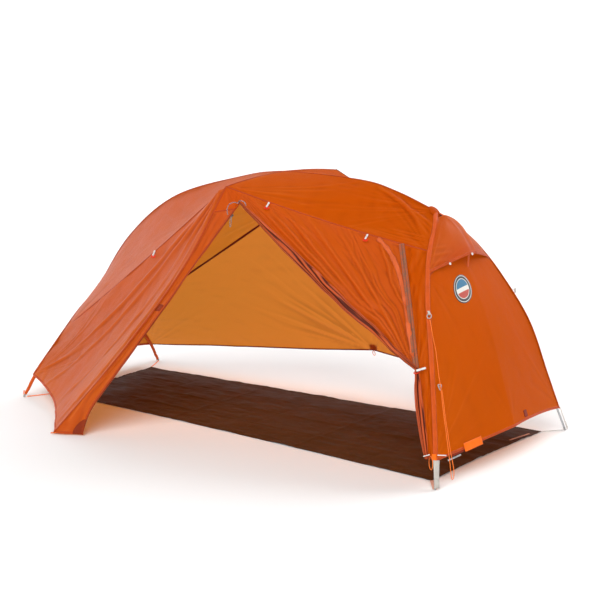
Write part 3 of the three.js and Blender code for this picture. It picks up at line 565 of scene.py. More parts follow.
def leg_panel_cloth():
    cloth = Cloth(
        one_after_other(edge_zip, leg_panel_edge, ZIPPED_SHARE),
        stretch(leg[NEAR], leg_at[ELBOW_HEIGHT], leg_at[HEAD_HEM_HEIGHT]),
        stretch(eave[NEAR], eave_share(EDGE_ZIP_START), 1), straight(LEG_PANEL_HEM, head_hem[NEAR]),
        pitch=0.006, heart=(0.5, 0, 0.4),
    )
    cloth.fan(edge_zip(0.0), head_hem[NEAR], 0.0030, 0.25, 0.60, 3, 701)
    cloth.fan(TIE_BACK, elbow[NEAR], 0.0032, 0.35, 0.30, 4, 711, core=0.02)
    cloth.ripple(0.0018, 0.10, 0.035, 721)
    cloth.ripple(0.0009, 0.05, 0.016, 722, 0.3)
    return cloth.settle(free=("end",))


def hood_line(corner, middle, bend):
    """The arch from the near leg to the far one through a middle point."""

    def line(t):
        t = np.asarray(t, float)
        rise = 1 - np.abs(2 * t - 1) ** bend
        return np.stack([
            corner[0] + (middle[0] - corner[0]) * rise,
            corner[1] * (2 * t - 1),
            corner[2] + (middle[2] - corner[2]) * rise,
        ], -1)

    return line


hood_lip = hood_line(leg[FAR](leg_at[VENT_HEIGHT]), HOOD_LIP, LIP_BEND)
wall_top = hood_line(leg[FAR](leg_at[VENT_HEIGHT - VENT_GAP]), WALL_TOP, WALL_BEND)


def hood_cloth():
    cloth = Cloth(
        slack(leg[NEAR](HUB_SHARE_HEAD), leg[FAR](HUB_SHARE_HEAD), (3, 0, 6)), hood_lip,
        stretch(leg[NEAR], HUB_SHARE_HEAD, leg_at[VENT_HEIGHT]),
        stretch(leg[FAR], HUB_SHARE_HEAD, leg_at[VENT_HEIGHT]),
        swell=(8, 0, 10), pitch=0.006,
    )
    hub = SPINE_LINE[-1]
    lip_peak = HOOD_LIP + (0, 0.05, 0)
    cloth.crease(hub, lip_peak, 0.016, 0.0050, 0.4)
    for k in range(3):
        near_end = leg[NEAR](leg_at[VENT_HEIGHT] * (0.90 - 0.09 * k))
        cloth.crease(near_end, HOOD_LIP + (-0.03 * k, -0.10, 0.012 * (k + 1)), 0.004, 0.0010, 0.5)
    cloth.fan(leg[FAR](leg_at[VENT_HEIGHT]), hub, 0.0030, 0.50, 0.25, 4, 801)
    cloth.fan(leg[NEAR](leg_at[VENT_HEIGHT]), hub, 0.0030, 0.50, 0.25, 4, 811)
    cloth.ripple(0.0020, 0.11, 0.16, 821, 0.2)
    return cloth.settle(free=("high",))


def head_hem_line(t):
    t = np.asarray(t, float)
    out = np.abs(2 * t - 1)[..., None]
    side = np.where((t < 0.5)[..., None], head_hem[NEAR], head_hem[FAR])
    rise = np.where((t < 0.5)[..., None], 0, 0.040 * out * (1 - out)) * np.array([0, 0, 1.0])
    return HEAD_HEM_MIDDLE * (1 - out) + side * out + rise


def head_wall_cloth():
    a = leg_at[VENT_HEIGHT - VENT_GAP]
    b = leg_at[HEAD_HEM_HEIGHT]
    cloth = Cloth(wall_top, head_hem_line, stretch(leg[NEAR], a, b), stretch(leg[FAR], a, b))
    cloth.fan(head_hem[NEAR], leg[FAR](a), 0.0018, 0.50, 0.40, 4, 901)
    cloth.fan(head_hem[FAR], leg[NEAR](a), 0.0018, 0.50, 0.45, 4, 911)
    cloth.fan(HEAD_HEM_MIDDLE, (1.05, 0.05, 0.7), 0.0014, 0.80, 0.22, 6, 921)
    cloth.fan(leg[NEAR](a), HEAD_HEM_MIDDLE, 0.0012, 0.50, 0.30, 4, 931)
    cloth.ripple(0.0018, 0.22, 0.40, 941, 0.1)
    cloth.ripple(0.0006, 0.06, 0.12, 942, 0.4)
    return cloth.settle(free=("high",))


def foot_wall_cloth():
    a = HUB_SHARE_FOOT
    b = foot_at[FOOT_HEM_HEIGHT]
    cloth = Cloth(
        slack(foot_leg[FAR](a), foot_leg[NEAR](a), (-2, 0, 4)),
        slack(foot_hem[FAR], foot_hem[NEAR], (0, 0, 24)),
        stretch(foot_leg[FAR], a, b), stretch(foot_leg[NEAR], a, b), pitch=0.007,
    )
    cloth.fan(foot_hem[NEAR], FOOT_LEG_LINE[0], 0.0035, 0.45, 0.35, 4, 1001)
    cloth.fan(foot_hem[FAR], FOOT_LEG_LINE[0], 0.0035, 0.45, 0.35, 4, 1011)
    cloth.ripple(0.0028, 0.12, 0.20, 1021)
    return cloth.settle(free=("high",))


FOOTPRINT_HALF_LENGTH = 1.105
FOOTPRINT_HEAD_HALF = 0.452
FOOTPRINT_FOOT_HALF = 0.335
FOOTPRINT_INLET = 0.014


def footprint_cloth():
    head = FOOTPRINT_HALF_LENGTH
    ends = {
        name: np.array([x, y, 0.0015])
        for name, x, y in (
            ("head_near", head, -FOOTPRINT_HEAD_HALF), ("head_far", head, FOOTPRINT_HEAD_HALF),
            ("foot_near", -head, -FOOTPRINT_FOOT_HALF), ("foot_far", -head, FOOTPRINT_FOOT_HALF),
        )
    }
    middle = (FOOTPRINT_HEAD_HALF + FOOTPRINT_FOOT_HALF) / 2 - 2 * FOOTPRINT_INLET
    inner = head - 2 * FOOTPRINT_INLET
    cloth = Cloth(
        quadratic(ends["foot_near"], np.array([0, -middle, 0.0015]), ends["head_near"]),
        quadratic(ends["foot_far"], np.array([0, middle, 0.0015]), ends["head_far"]),
        quadratic(ends["foot_near"], np.array([-inner, 0, 0.0015]), ends["foot_far"]),
        quadratic(ends["head_near"], np.array([inner, 0, 0.0015]), ends["head_far"]),
        heart=(0, 0, -1), pitch=0.0095,
    )
    for k, name in enumerate(sorted(ends)):
        cloth.fan(ends[name], (0, 0, 0), 0.0016, 0.40, 0.50, 5, 1101 + 10 * k)
    for k, share in enumerate((0.17, 0.335, 0.50, 0.665, 0.83)):
        a = cloth.points[0, round(share * (cloth.u.shape[1] - 1))]
        b = cloth.points[-1, round(share * (cloth.u.shape[1] - 1))]
        cloth.crease(a, b, 0.006, 0.0016 if k % 2 else -0.0010, 0.1)
    for share in (0.25, 0.5, 0.75):
        row = round(share * (cloth.u.shape[0] - 1))
        cloth.crease(cloth.points[row, 0], cloth.points[row, -1], 0.006, 0.0014, 0.1)
    cloth.ripple(0.0016, 0.10, 0.05, 1151, 0.1)
    cloth.ripple(0.0008, 0.035, 0.02, 1152, 0.3)
    cloth.height = cloth.height - cloth.height.min() * 0.35
    cloth.settle(free=("low", "high", "start", "end"))
    cloth.points[..., 2] = np.maximum(cloth.points[..., 2], 0.0012)
    cloth.normals = cloth.find_normals()
    return cloth


# ---- Meshes --------------------------------------------------------------------------------------
def make_mesh(name, points, faces, material, cut=None, fold=None):
    """A smooth-shaded mesh. `cut` gives each point's place in the cloth, strap or cord, in metres, and
    `fold` says how deep it lies in a fold, from -1 on a ridge to 1 in a valley, for painted highlights on
    ridges and painted shade in valleys."""
    mesh = bpy.data.meshes.new(name)
    mesh.from_pydata(np.asarray(points, float).tolist(), [], [tuple(f) for f in faces])
    mesh.shade_smooth()
    if cut is not None:
        attribute = mesh.attributes.new("cut", "FLOAT_VECTOR", "POINT")
        attribute.data.foreach_set("vector", np.asarray(cut, np.float32).ravel())
    if fold is not None:
        attribute = mesh.attributes.new("fold", "FLOAT", "POINT")
        attribute.data.foreach_set("value", np.asarray(fold, np.float32).ravel())
    mesh.materials.append(material)
    piece = bpy.data.objects.new(name, mesh)
    bpy.context.scene.collection.objects.link(piece)
    return piece


def grid_faces(rows, columns, flip=False, wrap=False):
    index = np.arange(rows * columns).reshape(rows, columns)
    if wrap:
        index = np.hstack([index, index[:, :1]])
    quads = np.stack([index[:-1, :-1], index[:-1, 1:], index[1:, 1:], index[1:, :-1]], -1).reshape(-1, 4)
    return (quads[:, ::-1] if flip else quads).tolist()


def cloth_piece(name, cloth, material):
    rows, columns = cloth.u.shape
    cut = np.stack([cloth.u * cloth.wide, cloth.v * cloth.long, 0 * cloth.u], -1)
    faces = grid_faces(rows, columns, flip=cloth.sign < 0)
    return make_mesh(name, cloth.points.reshape(-1, 3), faces, material, cut.reshape(-1, 3), cloth.fold)


def carried_frames(path, start_up):
    """Tangent, side and up along a path, turning no more than the path does."""
    tangents = unit(np.gradient(path, axis=0))
    up = unit(np.asarray(start_up, float) - (np.asarray(start_up, float) @ tangents[0]) * tangents[0])
    ups = [up]
    for t in tangents[1:]:
        up = unit(ups[-1] - (ups[-1] @ t) * t)
        ups.append(up)
    ups = np.array(ups)
    return tangents, np.cross(tangents, ups), ups


def sweep(name, path, outline, material, up, closed=False, fold=None):
    """A solid along a path. `outline` is one ring of (side, up) offsets, or one ring for each point;
    `up` is one starting direction, or one direction for each point."""
    path = np.asarray(path, float)
    up = np.asarray(up, float)
    if up.ndim == 1:
        tangents, sides, ups = carried_frames(path, up)
    else:
        tangents = unit(np.gradient(path, axis=0))
        ups = unit(up - (up * tangents).sum(1, keepdims=True) * tangents)
        sides = np.cross(tangents, ups)
    rings = np.asarray(outline, float)
    if rings.ndim == 2:
        rings = np.repeat(rings[None], len(path), 0)
    n, m = rings.shape[:2]
    points = path[:, None] + sides[:, None] * rings[..., :1] + ups[:, None] * rings[..., 1:2]
    travelled = np.concatenate([[0], np.cumsum(np.linalg.norm(np.diff(path, axis=0), axis=1))])
    cut = np.concatenate([np.repeat(travelled[:, None, None], m, 1), rings], -1)
    faces = grid_faces(n, m, flip=True, wrap=True)
    points = points.reshape(-1, 3)
    cut = cut.reshape(-1, 3)
    last = (n - 1) * m
    if closed:
        faces += [(k, (k + 1) % m, last + (k + 1) % m, last + k) for k in range(m)]
    else:
        points = np.vstack([points, path[:1], path[-1:]])
        cut = np.vstack([cut, (0, 0, 0), (travelled[-1], 0, 0)])
        faces += [(n * m, k, (k + 1) % m) for k in range(m)]
        faces += [(n * m + 1, last + (k + 1) % m, last + k) for k in range(m)]
    if fold is not None:
        fold = np.append(fold.ravel(), (0, 0))
    return make_mesh(name, points, faces, material, cut, fold)


def round_the_clock(count):
    return np.linspace(0, 2 * np.pi, count, endpoint=False)


def circle(radius, count):
    angle = round_the_clock(count)
    return np.stack([radius * np.cos(angle), radius * np.sin(angle)], 1)


def flat_outline(width, thickness, crown=0.0):
    """A strap's section: flat below, crowned above, with rounded edges."""
    x = np.linspace(-1, 1, 9)
    top = thickness / 2 * np.sqrt(np.clip(1 - x**6, 0, 1)) + crown * (1 - x**2)
    over = np.stack([x * width / 2, top], 1)
    under = np.stack([x[::-1][1:-1] * width / 2, -thickness / 2 * np.sqrt(1 - x[::-1][1:-1] ** 6)], 1)
    return np.vstack([over[::-1], under[::-1]])


def tube(name, path, radius, material, sides=14, up=(0, 0, 1), closed=False):
    return sweep(name, path, circle(radius, sides), material, up, closed)


def band(name, path, normals, width, thickness, material, crown=0.0):
    """A flat strip: `normals` is one direction for each point of the path, or one for all of them."""
    return sweep(name, path, flat_outline(width, thickness, crown), material, up=facing(normals, path))


def facing(direction, path):
    return np.broadcast_to(np.asarray(direction, float), path.shape)


def turned(name, base, axis, profile, material, sides=20):
    """A turned part: profile is (distance along the axis, radius), starting and ending on the axis."""
    base = np.asarray(base)
    axis = unit(np.asarray(axis, float))
    helper = np.array([1.0, 0, 0]) if abs(axis[0]) < 0.8 else np.array([0, 1.0, 0])
    side = unit(np.cross(axis, helper))
    angle = round_the_clock(sides)
    ring = np.cos(angle)[:, None] * side + np.sin(angle)[:, None] * np.cross(axis, side)
    middle = profile[1:-1]
    poles = [profile[0][0], profile[-1][0]]
    points = np.vstack([base + axis * d + ring * r for d, r in middle] + [base + axis * d for d in poles])
    cut = np.vstack([np.stack([0 * angle + d, r * np.cos(angle), r * np.sin(angle)], 1) for d, r in middle]
                    + [(d, 0, 0) for d in poles])
    tip = len(middle) * sides
    faces = grid_faces(len(middle), sides, wrap=True)
    faces += [((k + 1) % sides, k, tip) for k in range(sides)]
    faces += [(tip - sides + k, tip - sides + (k + 1) % sides, tip + 1) for k in range(sides)]
    return make_mesh(name, points, faces, material, cut)


def joined(name, *pieces):
    """Several meshes as one piece."""
    with bpy.context.temp_override(
        active_object=pieces[0], selected_editable_objects=list(pieces), object=pieces[0],
    ):
        bpy.ops.object.join()
    pieces[0].name = name
    pieces[0].data.name = name
    return pieces[0]


def patch(name, cloth, u, v, outline, material, lift=0.0012):
    """A flat patch on a panel, with its middle at (u, v): outline gives x and y for each angle."""
    rings = 10
    angles = round_the_clock(48)
    points = []
    cuts = []
    step = 0.02
    wide = np.linalg.norm(cloth.at(u + step, v)[0] - cloth.at(u - step, v)[0]) / (2 * step)
    long = np.linalg.norm(cloth.at(u, v + step)[0] - cloth.at(u, v - step)[0]) / (2 * step)
    x, y = outline(angles)
    for share in np.linspace(0, 1, rings + 1)[1:]:
        p, _ = cloth.at(u + x * share / wide, v + y * share / long, lift)
        points.append(p)
        cuts.append(np.stack([x * share, y * share, 0 * x], 1))
    p, _ = cloth.at(u, v, lift)
    skirt, _ = cloth.at(u + x / wide, v + y / long, 0.0001)
    points = np.vstack([*points, skirt, [p]])
    cuts = np.vstack([*cuts, cuts[-1], [(0, 0, 0)]])
    m = len(angles)
    faces = grid_faces(rings + 1, m, wrap=True, flip=cloth.sign > 0)
    middle = (rings + 1) * m
    for k in range(m):
        face = (middle, k, (k + 1) % m)
        faces.append(face[::-1] if cloth.sign < 0 else face)
    return make_mesh(name, points, faces, material, cuts)


def finish_as(piece, slot, nodes=()):
    """Hides the CAD nodes that a piece stands for; `slot` is not used."""
    if nodes:
        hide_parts(*nodes)


def place(piece, body, slot, *nodes):
    """Hangs a piece on its body and hides the CAD nodes it stands for; `slot` is not used."""
    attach(piece, body)
    finish_as(piece, slot, nodes)
    return piece


def pinned(piece, slot="fly_cloth", *nodes):
    """The same for a piece that stands still with the tent."""
    return place(piece, "tent", slot, *nodes)


# ---- Materials -----------------------------------------------------------------------------------
def srgb(r, g, b):
    """A colour given as it looks on a screen, 0 to 255, as linear light."""
    return tuple(((c / 255 + 0.055) / 1.055) ** 2.4 if c > 10 else c / 255 / 12.92 for c in (r, g, b)) + (1,)


def scaled(color, factor, extra=0.0):
    """A darker or paler colour, no brighter than full white."""
    return tuple(min(1, c * factor + extra) for c in color[:3]) + (1,)


class Value:
    """A number in a node tree: arithmetic on it adds the nodes that work it out."""

    def __init__(self, nodes, socket):
        self.nodes = nodes
        self.socket = socket

    def __add__(self, other):
        return self.nodes.math("ADD", self, other)

    def __sub__(self, other):
        return self.nodes.math("SUBTRACT", self, other)

    def __rsub__(self, other):
        return self.nodes.math("SUBTRACT", other, self)

    def __mul__(self, other):
        return self.nodes.math("MULTIPLY", self, other)

    def __abs__(self):
        return self.nodes.math("ABSOLUTE", self)


class Nodes:
    """A node tree, with short names for the nodes that are used often."""

    def __init__(self, tree):
        self.tree = tree

    def feed(self, socket, value):
        if isinstance(value, Value):
            value = value.socket
        if isinstance(value, bpy.types.NodeSocket):
            self.tree.links.new(value, socket)
        else:
            socket.default_value = value

    def node(self, kind, *values, **named):
        """A new node, with its first inputs given in order and the others by name."""
        node = self.tree.nodes.new("ShaderNode" + kind)
        for socket, value in zip(node.inputs, values):
            self.feed(socket, value)
        for name, value in named.items():
            self.feed(node.inputs[name.replace("_", " ")], value)
        return node

    def math(self, operation, a, b=0.0, c=0.0):
        node = self.node("Math", a, b, c)
        node.operation = operation
        return Value(self, node.outputs[0])

    def remap(self, value, low, high, to_low, to_high):
        return Value(self, self.node("MapRange", value, low, high, to_low, to_high).outputs[0])


class Shader(Nodes):
    """A material's nodes. x runs along a piece of cloth or cord, y and z across it, in metres."""

    def __init__(self, name):
        self.material = bpy.data.materials.new(name)
        self.material.use_nodes = True
        super().__init__(self.material.node_tree)
        self.tree.nodes.clear()
        self.output = self.node("OutputMaterial")
        self.cut = self.attribute("cut", "Vector")
        self.x, self.y, self.z = (Value(self, socket) for socket in self.node("SeparateXYZ", self.cut).outputs)

    def attribute(self, name, output):
        node = self.node("Attribute")
        node.attribute_name = name
        return node.outputs[output]

    def in_object(self):
        return self.node("TexCoord").outputs["Object"]

    def noise(self, scale, detail=3.0, rough=0.5, distortion=0.0, vector=None):
        node = self.node("TexNoise", Vector=vector or self.cut, Scale=scale, Detail=detail, Roughness=rough,
                         Distortion=distortion)
        return Value(self, node.outputs["Fac"])

    def stretched(self, x, y):
        return self.node("Mapping", self.cut, Scale=(x, y, 1.0)).outputs[0]

    def yarns(self, coordinate, pitch, sharpness):
        """1 on each thick yarn and 0 between them."""
        wave = self.math("COSINE", coordinate * (2 * math.pi / pitch))
        return self.math("POWER", self.math("MAXIMUM", wave, 0.0), sharpness)

    def yarn_grid(self, pitch, sharpness):
        return self.math("MAXIMUM", self.yarns(self.x, pitch, sharpness), self.yarns(self.y, pitch, sharpness))

    def waves(self, coordinate, pitch):
        """A smooth wave from 0 to 1."""
        return self.math("MULTIPLY_ADD", self.math("SINE", coordinate * (2 * math.pi / pitch)), 0.5, 0.5)

    def mix(self, factor, a, b):
        node = self.node("Mix")
        node.data_type = "RGBA"
        for socket, value in ((0, factor), (6, a), (7, b)):
            self.feed(node.inputs[socket], value)
        return node.outputs[2]

    def toward(self, a, b, value, low, high, amount=1.0):
        """Colour a, turning into b by up to `amount` as the value goes from low to high."""
        return self.mix(self.remap(value, low, high, 0.0, amount), a, b)

    def bump(self, height, distance, strength, under=None):
        node = self.node("Bump", Strength=strength, Distance=distance, Height=height)
        if under is not None:
            self.feed(node.inputs["Normal"], under)
        return node.outputs[0]

    def principled(self, color, roughness, normal=None, **inputs):
        if normal is not None:
            inputs["Normal"] = normal
        return self.node("BsdfPrincipled", Base_Color=color, Roughness=roughness, **inputs).outputs[0]

    def finish(self, *surface, **inputs):
        """Ends the material in a principled surface made from colour, roughness and normal."""
        return self.end(self.principled(*surface, **inputs))

    def end(self, shader):
        self.tree.links.new(shader, self.output.inputs["Surface"])
        return self.material


CLOTH_FACE = srgb(203, 79, 0)
CLOTH_WORN = srgb(196, 80, 2)
CLOTH_THROUGH = srgb(226, 146, 46)
CLOTH_SHEEN = (1.0, 0.62, 0.5, 1)
# painted highlight colour for the ridges of folds
RIDGE_HIGHLIGHT_COLOR = srgb(228, 116, 48)
FOLD_SHADE = srgb(120, 36, 2)
YARN_PITCH = 0.0055
YARN_SHARPNESS = 24.0
THREAD_PITCH = 0.0007
STITCH_PITCH = 0.0042


def nylon(name, through, share, shine=0.26, shade_strength=0.30, fold_shade=FOLD_SHADE, face=CLOTH_FACE,
          worn=CLOTH_WORN):
    """Thin coated ripstop: a square grid of thick yarns, a fine crumple, and light coming through. The
    crumple's hollows and the fold valleys get painted shade, and the fold ridges get painted highlights.
    """
    s = Shader(name)
    grid = s.yarn_grid(YARN_PITCH, YARN_SHARPNESS)
    weave = s.waves(s.x, THREAD_PITCH) * s.waves(s.y, THREAD_PITCH)
    crumple = s.noise(22.0, 4.0, 0.55, 0.7)
    fine = s.noise(95.0, 3.0, 0.6, 0.4)
    dark = scaled(face, 0.72)
    color = s.toward(face, worn, s.noise(3.5), 0.3, 0.7, 0.55)
    color = s.mix(grid * 0.28, color, dark)
    # painted shade: up to a tenth darker in the hollows of the crumple bump
    color = s.mix(s.remap(crumple, 0.35, 0.65, 0.10, 0.0), color, dark)
    fold = s.attribute("fold", "Fac")  # -1 on a ridge, 1 in a valley
    # painted shade darkens the fold valleys and a painted highlight lightens the fold ridges
    valley_shade = s.remap(fold, 0.05, 1.0, 0.0, shade_strength)
    ridge = s.remap(fold, -1.0, -0.1, 0.30, 0.0)
    color = s.mix(ridge, s.mix(valley_shade, color, fold_shade), RIDGE_HIGHLIGHT_COLOR)
    rough = s.remap(crumple, 0.3, 0.7, 0.37, 0.50) + grid * 0.08
    normal = s.bump(fine, 0.0004, 0.45, s.bump(crumple, 0.0016, 0.55))
    normal = s.bump(grid + weave * 0.25, 0.00012, 0.6, normal)
    cloth = s.principled(color, rough, normal, Sheen_Weight=0.06 * shine, Sheen_Roughness=0.35,
                         Sheen_Tint=CLOTH_SHEEN, Specular_IOR_Level=shine)
    lit = s.mix(grid * 0.35, through, scaled(through, 0.8))
    # the light coming through also gets painted shade in the fold valleys
    glow = s.node("BsdfTranslucent", Color=s.mix(valley_shade * 0.7, lit, fold_shade), Normal=normal)
    return s.end(s.node("MixShader", share, cloth, glow.outputs[0]).outputs[0])


def stitched(name, face, thread, offset):
    """A folded hem or seam of the fly cloth with a row of stitches at +-offset from its middle."""
    s = Shader(name)
    row = s.remap(abs(abs(s.y) - offset), 0.0003, 0.0008, 1.0, 0.0)
    stitch = row * s.remap(s.waves(s.x, STITCH_PITCH), 0.25, 0.45, 0.0, 1.0)
    pucker = s.noise(180.0, 3.0, 0.6, 0.5, s.stretched(1.0, 0.35))
    dark = scaled(face, 0.55)
    color = s.toward(face, dark, s.noise(14.0, 3.0, 0.6), 0.3, 0.7, 0.5)
    # painted shade: the stitch rows, which the bump sinks as grooves, are darkened
    color = s.mix(stitch, s.mix(row * 0.35, color, dark), thread)
    normal = s.bump(stitch - row * 0.6, 0.0004, 0.8, s.bump(pucker, 0.0008, 0.6))
    return s.finish(color, s.remap(pucker, 0.3, 0.7, 0.5, 0.65), normal, Specular_IOR_Level=0.2)


def webbing_material(name, face, dark, rib=0.0016):
    """Flat woven webbing: ribs across it, twill lines, and a little fuzz, with painted shade in the grooves
    between the ribs.
    """
    s = Shader(name)
    ribs = s.waves(s.x, rib)
    twill = s.waves(s.x + s.y * 0.6, rib * 0.9)
    fuzz = s.noise(420.0, 3.0, 0.7)
    color = s.toward(face, dark, s.noise(30.0, 3.0, 0.6), 0.3, 0.75, 0.6)
    # painted shade: the grooves between the ribs are darkened
    color = s.mix((1.0 - ribs) * 0.45, color, dark)
    normal = s.bump(ribs + twill * 0.5, 0.00035, 0.8, s.bump(fuzz, 0.0003, 0.4))
    return s.finish(color, s.remap(fuzz, 0.3, 0.7, 0.72, 0.9), normal, Sheen_Weight=0.12, Sheen_Roughness=0.5,
                    Specular_IOR_Level=0.2)


def braid_material(name, face, fleck, radius, contrast=0.7):
    """A round braided cord: two sets of strands that cross, with flecks of a second colour and painted shade in
    the gaps between the strands.
    """
    s = Shader(name)
    angle = s.math("ARCTAN2", s.z, s.y)
    turn = s.x * (2 * math.pi / (radius * 7))
    one = s.math("SINE", turn + angle * 3.0)
    two = s.math("SINE", turn - angle * 3.0)
    strands = abs(one) * abs(two)
    color = s.toward(face, fleck, one * two, 0.45, 0.7, contrast)
    # painted shade: darker in the gaps between the strands
    color = s.mix(s.remap(strands, 0.0, 0.3, 0.45, 0.0), color, scaled(face, 0.4))
    return s.finish(color, s.remap(strands, 0.0, 1.0, 0.75, 0.6), s.bump(strands, radius * 0.25, 0.8),
                    Sheen_Weight=0.08, Specular_IOR_Level=0.2)


def plastic_material(name, face, roughness):
    """Moulded nylon: a fine sparked texture, slight mottling, and scuffs rubbed paler."""
    s = Shader(name)
    place_in = s.in_object()
    scuff = s.noise(260.0, 4.0, 0.7, 0.8, place_in)
    pale = scaled(face, 1, 0.09)
    color = s.toward(face, pale, s.noise(60.0, 3.0, 0.6, vector=place_in), 0.3, 0.7, 0.6)
    color = s.toward(color, pale, scuff, 0.6, 0.75, 0.5)
    rough = s.remap(scuff, 0.3, 0.7, roughness - 0.06, roughness + 0.1)
    grain = s.noise(1400.0, 3.0, 0.6, vector=place_in)
    return s.finish(color, rough, s.bump(grain, 0.0001, 0.5), Specular_IOR_Level=0.5)


def alloy_material(name, face, roughness=0.3):
    """Anodised tube: drawn lines along it and faint scuffs."""
    s = Shader(name)
    lines = s.noise(900.0, 2.0, 0.5, vector=s.stretched(0.02, 1.0))
    scuff = s.noise(120.0, 4.0, 0.65, 0.5, s.in_object())
    color = s.toward(face, scaled(face, 1.25), scuff, 0.55, 0.75, 0.5)
    rough = s.remap(lines, 0.3, 0.7, roughness - 0.06, roughness + 0.08) + s.remap(scuff, 0.5, 0.75, 0.0, 0.12)
    return s.finish(color, rough, s.bump(lines, 0.00006, 0.5), Metallic=0.9, Anisotropic=0.4)


def footprint_material():
    """Dark coated polyester with packing creases, painted shade in the crease hollows, a fine weave, and paler
    spots on the high points of the fine crumple.
    """
    s = Shader("footprint_cloth")
    pale = srgb(96, 60, 40)
    deep = srgb(56, 30, 14)
    crumple = s.noise(16.0, 5.0, 0.6, 0.8, s.stretched(0.55, 1.3))
    fine = s.noise(70.0, 4.0, 0.6, 0.5, s.stretched(0.5, 1.4))
    grid = s.yarn_grid(0.004, 18.0)
    color = s.toward(srgb(77, 43, 21), pale, s.noise(5.0, 4.0, 0.65), 0.4, 0.7, 0.35)
    # painted shade: up to 60% darker in the hollows of the crease bump
    color = s.mix(s.remap(crumple, 0.35, 0.65, 0.6, 0.0), color, deep)
    # paler on the high points of the fine crumple bump
    color = s.mix(grid * 0.2, s.toward(color, pale, fine, 0.60, 0.72, 0.35), deep)
    normal = s.bump(grid, 0.00012, 0.5, s.bump(fine, 0.0009, 0.5, s.bump(crumple, 0.004, 0.6)))
    rough = s.remap(crumple, 0.3, 0.7, 0.50, 0.68)
    return s.finish(color, rough, normal, Sheen_Weight=0.0, Specular_IOR_Level=0.18)


def zip_material():
    """Zip tape with its coil in the middle: brown woven tape, darker close teeth."""
    s = Shader("zip_tape")
    coil = s.remap(abs(s.y), 0.0022, 0.0032, 1.0, 0.0)
    teeth = s.waves(s.x, 0.0024)
    tape = s.toward(srgb(176, 76, 24), srgb(140, 84, 52), s.noise(38.0, 3.0, 0.6, 0.5), 0.42, 0.62)
    tape = s.toward(tape, srgb(92, 50, 30), s.noise(110.0, 4.0, 0.7, 0.8), 0.5, 0.7, 0.6)
    color = s.mix(coil * s.remap(teeth, 0.3, 0.7, 0.9, 0.4), tape, srgb(104, 46, 22))
    normal = s.bump((1.0 - coil) * s.waves(s.x, 0.0011), 0.0002, 0.6)
    normal = s.bump(coil * teeth, 0.0009, 0.8, normal)
    return s.finish(color, s.remap(coil, 0.0, 1.0, 0.75, 0.4), normal, Sheen_Weight=0.2)


def round_patch_material():
    """A plain woven badge: a dark rim between pale rings, and three plain bands of colour inside it."""
    s = Shader("round_patch")
    radius = s.math("SQRT", s.x * s.x + s.y * s.y)
    threads = s.waves(s.y, 0.0011)
    pale = srgb(226, 222, 214)
    dark = srgb(48, 44, 50)
    color = srgb(38, 112, 150)
    for paint, where, start in (
        (pale, s.y, -0.0060), (srgb(186, 62, 44), s.y, 0.0120),
        (pale, radius, 0.0395), (dark, radius, 0.0425), (pale, radius, 0.0525), (dark, radius, 0.0555),
    ):
        color = s.toward(color, paint, where, start, start + 0.0010)
    color = s.mix(threads * 0.15, color, srgb(60, 60, 66))
    turn = s.math("ARCTAN2", s.y, s.x)
    rim_threads = s.math("MULTIPLY_ADD", s.math("SINE", turn * 150.0), 0.5, 0.5)
    height = s.remap(radius, 0.0520, 0.0530, 0.0, 1.0) * rim_threads + threads * 0.5
    rough = s.remap(s.noise(500.0, 3.0, 0.6), 0.3, 0.7, 0.7, 0.85)
    return s.finish(color, rough, s.bump(height, 0.0004, 0.7), Sheen_Weight=0.3)


# One fly fabric in several copies whose light-through colour, shine and fold shade differ to paint in how light
# falls on each panel: less haze on the roof and head wall, warmer light through the far wall and the gathered
# door, and painted shade on the roll.
fly = nylon("fly_nylon", CLOTH_THROUGH, 0.38)
fly_haze_free_copy = nylon("fly_nylon_haze_free_copy", srgb(228, 136, 6), 0.36, 0.04)
fly_inside = nylon("fly_nylon_inside", srgb(230, 150, 58), 0.42)
fly_gathered = nylon("fly_nylon_gathered", srgb(236, 146, 24), 0.34, 0.14, 0.40)
# the roll copy is darker all over, with near-black painted shade in its pleats, for the shade the bunched roll
# sits in
fly_roll = nylon("fly_nylon_roll", CLOTH_THROUGH, 0.04, 0.20, 0.97, srgb(82, 24, 8), srgb(190, 76, 28),
                 srgb(178, 80, 44))
seam_tape = stitched("seam_tape", srgb(178, 64, 4), srgb(204, 84, 20), 0.0018)
inner_tape = stitched("inner_tape", srgb(116, 32, 6), srgb(150, 52, 16), 0.0040)
hem_tape = stitched("hem_tape", srgb(184, 68, 10), srgb(210, 96, 34), 0.0040)
reinforcement = stitched("reinforcement", srgb(140, 46, 8), srgb(186, 78, 24), 0.0040)
dark_cloth = stitched("dark_cloth", srgb(132, 38, 10), srgb(160, 60, 24), 0.0040)
coil_cloth = stitched("zip_coil", srgb(112, 34, 12), srgb(160, 70, 36), 0.0016)
sleeve_cloth = stitched("sleeve_cloth", srgb(203, 80, 16), srgb(220, 104, 44), 0.0070)
ribbon_cloth = stitched("ribbon_cloth", srgb(214, 96, 44), srgb(150, 60, 26), 0.0080)
label_cloth = stitched("label_cloth", srgb(255, 112, 0), srgb(236, 92, 0), 0.0165)
grey_webbing = webbing_material("grey_webbing", srgb(206, 200, 192), srgb(168, 162, 154))
orange_webbing = webbing_material("orange_webbing", srgb(226, 96, 12), srgb(168, 62, 12))
pale_webbing = webbing_material("pale_webbing", srgb(206, 206, 210), srgb(60, 58, 60), 0.0060)
peach_webbing = webbing_material("peach_webbing", srgb(232, 176, 152), srgb(196, 132, 104))
guy_cord = braid_material("guy_cord", srgb(252, 120, 30), srgb(255, 170, 96), 0.0015)
red_cord = braid_material("red_cord", srgb(236, 48, 8), srgb(240, 84, 30), 0.0010)
pale_cord = braid_material("pale_cord", srgb(190, 188, 184), srgb(236, 236, 232), 0.0010)
